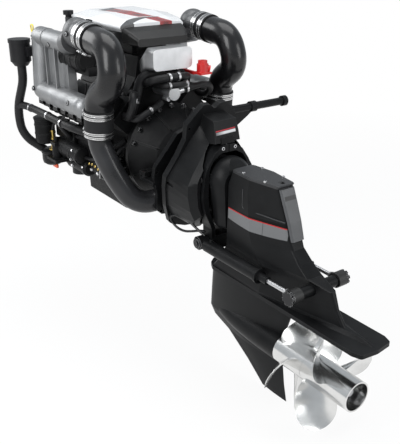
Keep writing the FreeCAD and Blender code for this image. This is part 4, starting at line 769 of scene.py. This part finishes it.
# %% Port side: canister, cooler, coils and bolts
cooler = bmesh.new()
spun(cooler, [(0, -70), (30, -70), (43, -62), (47, -50), (47, 44), (50, 47), (50, 55), (41, 60), (0, 60)],
     aimed(mm(-285, 868, 0), up), 32, 0)
for height in (-20, 20):
    ring_of(cooler, mm(-285, 868, height), up, 47, 6, 1.6, 0, 32)
spun(cooler, [(0, 0), (26, 0), (36, 6), (38, 12), (38, 238), (36, 244), (26, 250), (0, 250)],
     aimed(mm(-256, 780, -62), (0, -1, 0.02)), 28, 0)
for y in (764, 690, 610, 546):
    ring_of(cooler, mm(-256, y, -61), (0, 1, 0), 38, 9, 2, 0, 28)
spun(cooler, [(0, 0), (24, 0), (30, 8), (30, 150), (34, 154), (34, 178), (26, 186), (0, 186)],
     aimed(mm(-236, 700, -122), (0, -1, 0.03)), 24, 0)
block(cooler, (-240, 726, 4), (22, 190, 62), 6, 0)
block(cooler, (-222, 640, -30), (16, 260, 120), 6, 0)
block(cooler, (-230, 452, -92), (26, 120, 54), 6, 0)
block(cooler, (-226, 760, -110), (18, 70, 90), 6, 0)
for y, z in ((780, 22), (726, 16), (660, 20), (700, -6)):
    hex_bolt(cooler, mm(-251, y, z), (-1, 0, 0.1), 13, 7)
settle("port_cooler", cooler, "powerhead", [engine_black])

coils = bmesh.new()
spun(coils, [(0, 0), (34, 0), (44, 8), (46, 16), (46, 172), (44, 180), (34, 188), (0, 188)],
     aimed(mm(-262, 608, 372), (0, -1, 0)), 28, 0)
for y in (590, 540, 490, 440):
    ring_of(coils, mm(-262, y, 372), (0, 1, 0), 46, 8, 2, 0, 28)
block(coils, (-240, 520, 330), (60, 230, 40), 8, 0)
settle("port_coils", coils, "powerhead", [engine_black])

glints = bmesh.new()
fastenings = ((-286, 578, -38, 0.7, 10, 0), (-288, 594, -80, -0.4, 10, 0),
              (-266, 634, -124, 0, 11, 0), (-264, 530, -106, 0.2, 11, 0),
              (-242, 505, -86, 0.3, 12, 1), (-242, 476, -82, 0.3, 12, 1),
              (-242, 446, -84, 0.3, 12, 1), (-242, 420, -90, 0.3, 11, 1),
              (-242, 488, -108, 0, 11, 0), (-242, 432, -112, 0, 11, 0))
for x, y, z, lean, across, slot in fastenings:
    hex_bolt(glints, mm(x, y, z), (-1, 0, lean), across, 7, slot == 0)
    for face in glints.faces[-40:]:
        face.material_index = slot
tube(glints, [(-246, 405, -84), (-246, 406, -104), (-246, 408, -126)], 1.8, 0, 8, 3)
settle("port_fastenings", glints, "powerhead", [steel, brass])

rail = bmesh.new()
pan_low, pan_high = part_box("oil_pan")
pan_half = -pan_low[0] * 1000
pan_start, pan_end = pan_low[1] * 1000, pan_high[1] * 1000
rail_bolts = 14
for number in range(rail_bolts):
    y = pan_start + 14 + number * (pan_end - pan_start - 28) / (rail_bolts - 1)
    hex_bolt(rail, mm(-pan_half + 1, y, pan_high[2] * 1000 - 16), (-1, 0, 0), 13, 7)
settle("pan_rail_bolts", rail, "powerhead", [engine_black])

# %% [markdown]
# Spark plug boots stand out of the head below the manifold, with their leads gathered along
# the rocker cover. The looms follow the block to the starter.

# %% Plug leads and looms
for side, label in ((-1, "port"), (1, "starboard")):
    leads = bmesh.new()
    for number in range(4):
        y = 372 + number * 108
        tube(leads, [(side * 184, y, 118), (side * 216, y, 104), (side * 244, y, 96)], 9, 0, 12, 4)
        tube(leads, [(side * 240, y, 97), (side * 262, y + 6, 96), (side * 262, y + 30, 122),
                     (side * 238, y + 40, 178), (side * 226, y + 40, 262)], 4, 0, 8, 6)
        ring_of(leads, mm(side * 232, y, 99.5), (side, 0, -0.25), 9, 4, 1.4, 0, 14)
    settle("plug_leads_" + label, leads, "powerhead", [black_plastic])

looms = bmesh.new()
tube(looms, [(-176, 290, 60), (-214, 330, 30), (-222, 420, 14), (-226, 560, 10), (-232, 660, 6),
             (-240, 740, 18), (-236, 800, 60)], 11, 0, 10, 22, 0.12)
tube(looms, [(-190, 300, -20), (-222, 380, -34), (-236, 470, -60), (-250, 560, -66), (-262, 640, -50),
             (-270, 700, -62)], 8, 0, 10, 22, 0.14)
tube(looms, [(-196, 300, -112), (-206, 400, -140), (-200, 520, -150), (-196, 590, -120)], 6, 0, 8, 18, 0.14)
tube(looms, [(-152, 240, 120), (-170, 262, 60), (-196, 300, 20), (-214, 340, -30)], 7, 0, 8, 18, 0.14)
for y in (380, 470, 580, 690):
    block(looms, (-214, y, 10), (26, 12, 30), 3, 1)
settle("port_looms", looms, "powerhead", [black_plastic, steel])
print("leads and looms in place")

# %% [markdown]
# Across the back of the engine run a fat bent hose, a heater hose and bright hose clamps.
# The clamps' places follow the hoses of the solid model. Bolts ring the flywheel housing.

# %% Hoses, clamps and fittings at the back
back = bmesh.new()
tube(back, [(90, 262, 308), (-20, 254, 322), (-92, 250, 324), (-122, 250, 300), (-144, 249, 240),
            (-166, 248, 186), (-176, 247, 150)], 19, 0, 20)
tube(back, [(-176, 246, 164), (-168, 206, 166), (-130, 200, 182), (-84, 200, 202), (-50, 214, 214)],
     14, 0, 16)
clamp_spots = (((-40, 164, 321), (1, 0, 0.05), 16), ((2, 164, 321), (1, 0, 0), 16),
               ((-50, 149, 292), (1, 0, 0), 13), ((34, 157, 291), (1, 0.3, 0), 13),
               ((-108, 200, 192), (1, 0, 0.4), 14.5), ((62, 192, 261), (1, 0, 0.15), 14),
               ((-150, 249, 226), (0.4, 0, 1), 19.5), ((60, 260, 311), (1, 0, -0.1), 19.5))
for at, along, radius in clamp_spots:
    ring_of(back, mm(*at), along, radius, 9, 1.6, 1, 24)
    screw = aimed(mm(at[0] - 4, at[1] - radius - 1, at[2] + 3), (0.2, 0, 1))
    spun(back, [(0, 0), (3.4, 0), (3.4, 12), (0, 12)], screw, 8, 1)
block(back, (-162, 328, 243), (10, 12, 12), 2, 1)
block(back, (-163, 330, 75), (8, 16, 22), 2, 1)
tube(back, [(-164, 330, 134), (-163, 326, 118), (-160, 324, 102)], 2.4, 1, 8)
settle("back_hoses", back, "powerhead", [hose_rubber, steel])

HOUSING_BOLT_CIRCLE = 196
HOUSING_BOLT_PITCH = 17.5

housing_bolts = bmesh.new()
for number in range(9):
    turn = math.radians(20 + number * HOUSING_BOLT_PITCH)
    at = mm(math.cos(turn) * HOUSING_BOLT_CIRCLE, 214, math.sin(turn) * HOUSING_BOLT_CIRCLE)
    hex_bolt(housing_bolts, at, (0, -1, 0), 15, 9)
settle("flywheel_housing_bolts", housing_bolts, "powerhead", [dark_steel])

# %% [markdown]
# Two trim hoses leave the foot of the transom flange, hang in a bow and run to the cylinder.
# They are free hoses, so each follows the line of a smooth spline.

# %% Trim hoses
TRIM_HOSE_RADIUS = 5

def hanging_line(name, points):
    """The points of a spline that bends smoothly past the ones given."""
    data = bpy.data.curves.new(name, "CURVE")
    data.dimensions = "3D"
    spline = data.splines.new("NURBS")
    spline.points.add(len(points) - 1)
    for knot, point in zip(spline.points, points):
        knot.co = tuple(mm(*point)) + (1,)
    spline.order_u = 3
    spline.use_endpoint_u = True
    spline.resolution_u = 8
    carrier = bpy.data.objects.new(name, data)
    bpy.context.scene.collection.objects.link(carrier)
    line = [vert.co.copy() for vert in bpy.data.meshes.new_from_object(carrier).vertices]
    bpy.data.objects.remove(carrier)
    return line

trim_routes = (
    [(-126, -40, -176), (-136, -8, -180), (-144, 14, -190), (-143, 12, -208), (-136, -12, -232),
     (-124, -51, -240), (-112, -92, -228), (-98, -130, -214), (-92, -148, -214)],
    [(-136, 4, -184), (-132, -26, -180), (-121, -61, -184), (-113, -90, -197), (-104, -119, -215),
     (-94, -150, -230)],
)
for number, route in enumerate(trim_routes):
    line = hanging_line("trim_route", route)
    hose = bmesh.new()
    sweep(hose, line, TRIM_HOSE_RADIUS, 0, 12)
    piece = settle(f"trim_hose_{number + 1}", hose, None, [black_enamel])
    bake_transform(piece)
    length = sum((b - a).length for a, b in zip(line, line[1:]))
    print(piece.name, "length", round(length, 3))

# %% [markdown]
# The floor and the light. A wide pale floor runs under the object. The camera and mirrors
# see it almost white, with a faint shadow that fades out far off. Four large soft lamps and a
# pale world light the object evenly, and the camera sees that world as plain white.

# %% Floor, world and lamps
FLOOR_Z = -812
FLOOR_HALF = 14

floor_mesh = bmesh.new()
bmesh.ops.create_grid(floor_mesh, x_segments=1, y_segments=1, size=FLOOR_HALF,
                      matrix=Matrix.Translation(mm(0, 0, FLOOR_Z)))
floor_data = bpy.data.meshes.new("floor")
floor_mesh.to_mesh(floor_data)
floor_mesh.free()
floor = bpy.data.objects.new("floor", floor_data)
bpy.context.scene.collection.objects.link(floor)
floor_finish = Finish("white_floor")
rays = floor_finish.node("ShaderNodeLightPath")
seen = rays.out("Is Camera Ray").math("MAXIMUM", rays.out("Is Glossy Ray"))
seen = seen.math("MAXIMUM", rays.out("Is Transmission Ray"))
far = (floor_finish.x * floor_finish.x + floor_finish.y * floor_finish.y).math("SQRT")
floor_finish.set("Base Color", shade(0.8))
floor_finish.set("Roughness", 0.9)
glow = floor_finish.node("ShaderNodeEmission", {}, {"Color": shade(1.0), "Strength": 1.0}).made
output = floor_finish.tree.nodes["Material Output"]
blend = floor_finish.node("ShaderNodeMixShader", {}, {0: seen * (far.step(1.8, 4.5) * 0.1 + 0.9)}).made
floor_finish.tree.links.new(floor_finish.shader.outputs[0], blend.inputs[1])
floor_finish.tree.links.new(glow.outputs[0], blend.inputs[2])
floor_finish.tree.links.new(blend.outputs[0], output.inputs[0])
floor_data.materials.append(floor_finish.material)

world = bpy.data.worlds.new("studio")
bpy.context.scene.world = world
world.use_nodes = True
tree = world.node_tree
tree.nodes.clear()
path = tree.nodes.new("ShaderNodeLightPath")
soft = tree.nodes.new("ShaderNodeBackground")
soft.inputs["Color"].default_value = (0.90, 0.95, 1.0, 1)
soft.inputs["Strength"].default_value = 0.55
white = tree.nodes.new("ShaderNodeBackground")
white.inputs["Strength"].default_value = 1.0
white.inputs["Color"].default_value = (1, 1, 1, 1)
either = tree.nodes.new("ShaderNodeMath")
either.operation = "MAXIMUM"
tree.links.new(path.outputs["Is Camera Ray"], either.inputs[0])
tree.links.new(path.outputs["Is Transmission Ray"], either.inputs[1])
choose = tree.nodes.new("ShaderNodeMixShader")
tree.links.new(either.outputs[0], choose.inputs[0])
tree.links.new(soft.outputs[0], choose.inputs[1])
tree.links.new(white.outputs[0], choose.inputs[2])
sky = tree.nodes.new("ShaderNodeOutputWorld")
tree.links.new(choose.outputs[0], sky.inputs[0])

def lamp(name, at, size, power, colour=(1, 1, 1)):
    data = bpy.data.lights.new(name, "AREA")
    data.shape = "RECTANGLE"
    data.size, data.size_y = size
    data.energy = power
    data.color = colour
    light = bpy.data.objects.new(name, data)
    bpy.context.scene.collection.objects.link(light)
    light.location = at
    aim = mm(0, 0, 0) - at
    light.rotation_mode = "QUATERNION"
    light.rotation_quaternion = aim.to_track_quat("-Z", "Y")

lamp("key_from_port", mm(-3200, -700, 1900), (1.6, 2.4), 90)
lamp("overhead", mm(300, 300, 3200), (3.0, 2.2), 70)
lamp("aft_fill", mm(1500, -3400, 1200), (1.4, 2.2), 45)
lamp("bow_rim", mm(-1500, 3000, 1600), (1.4, 2.0), 40)
scene = bpy.context.scene
scene.view_settings.view_transform = "Standard"

# %% [markdown]
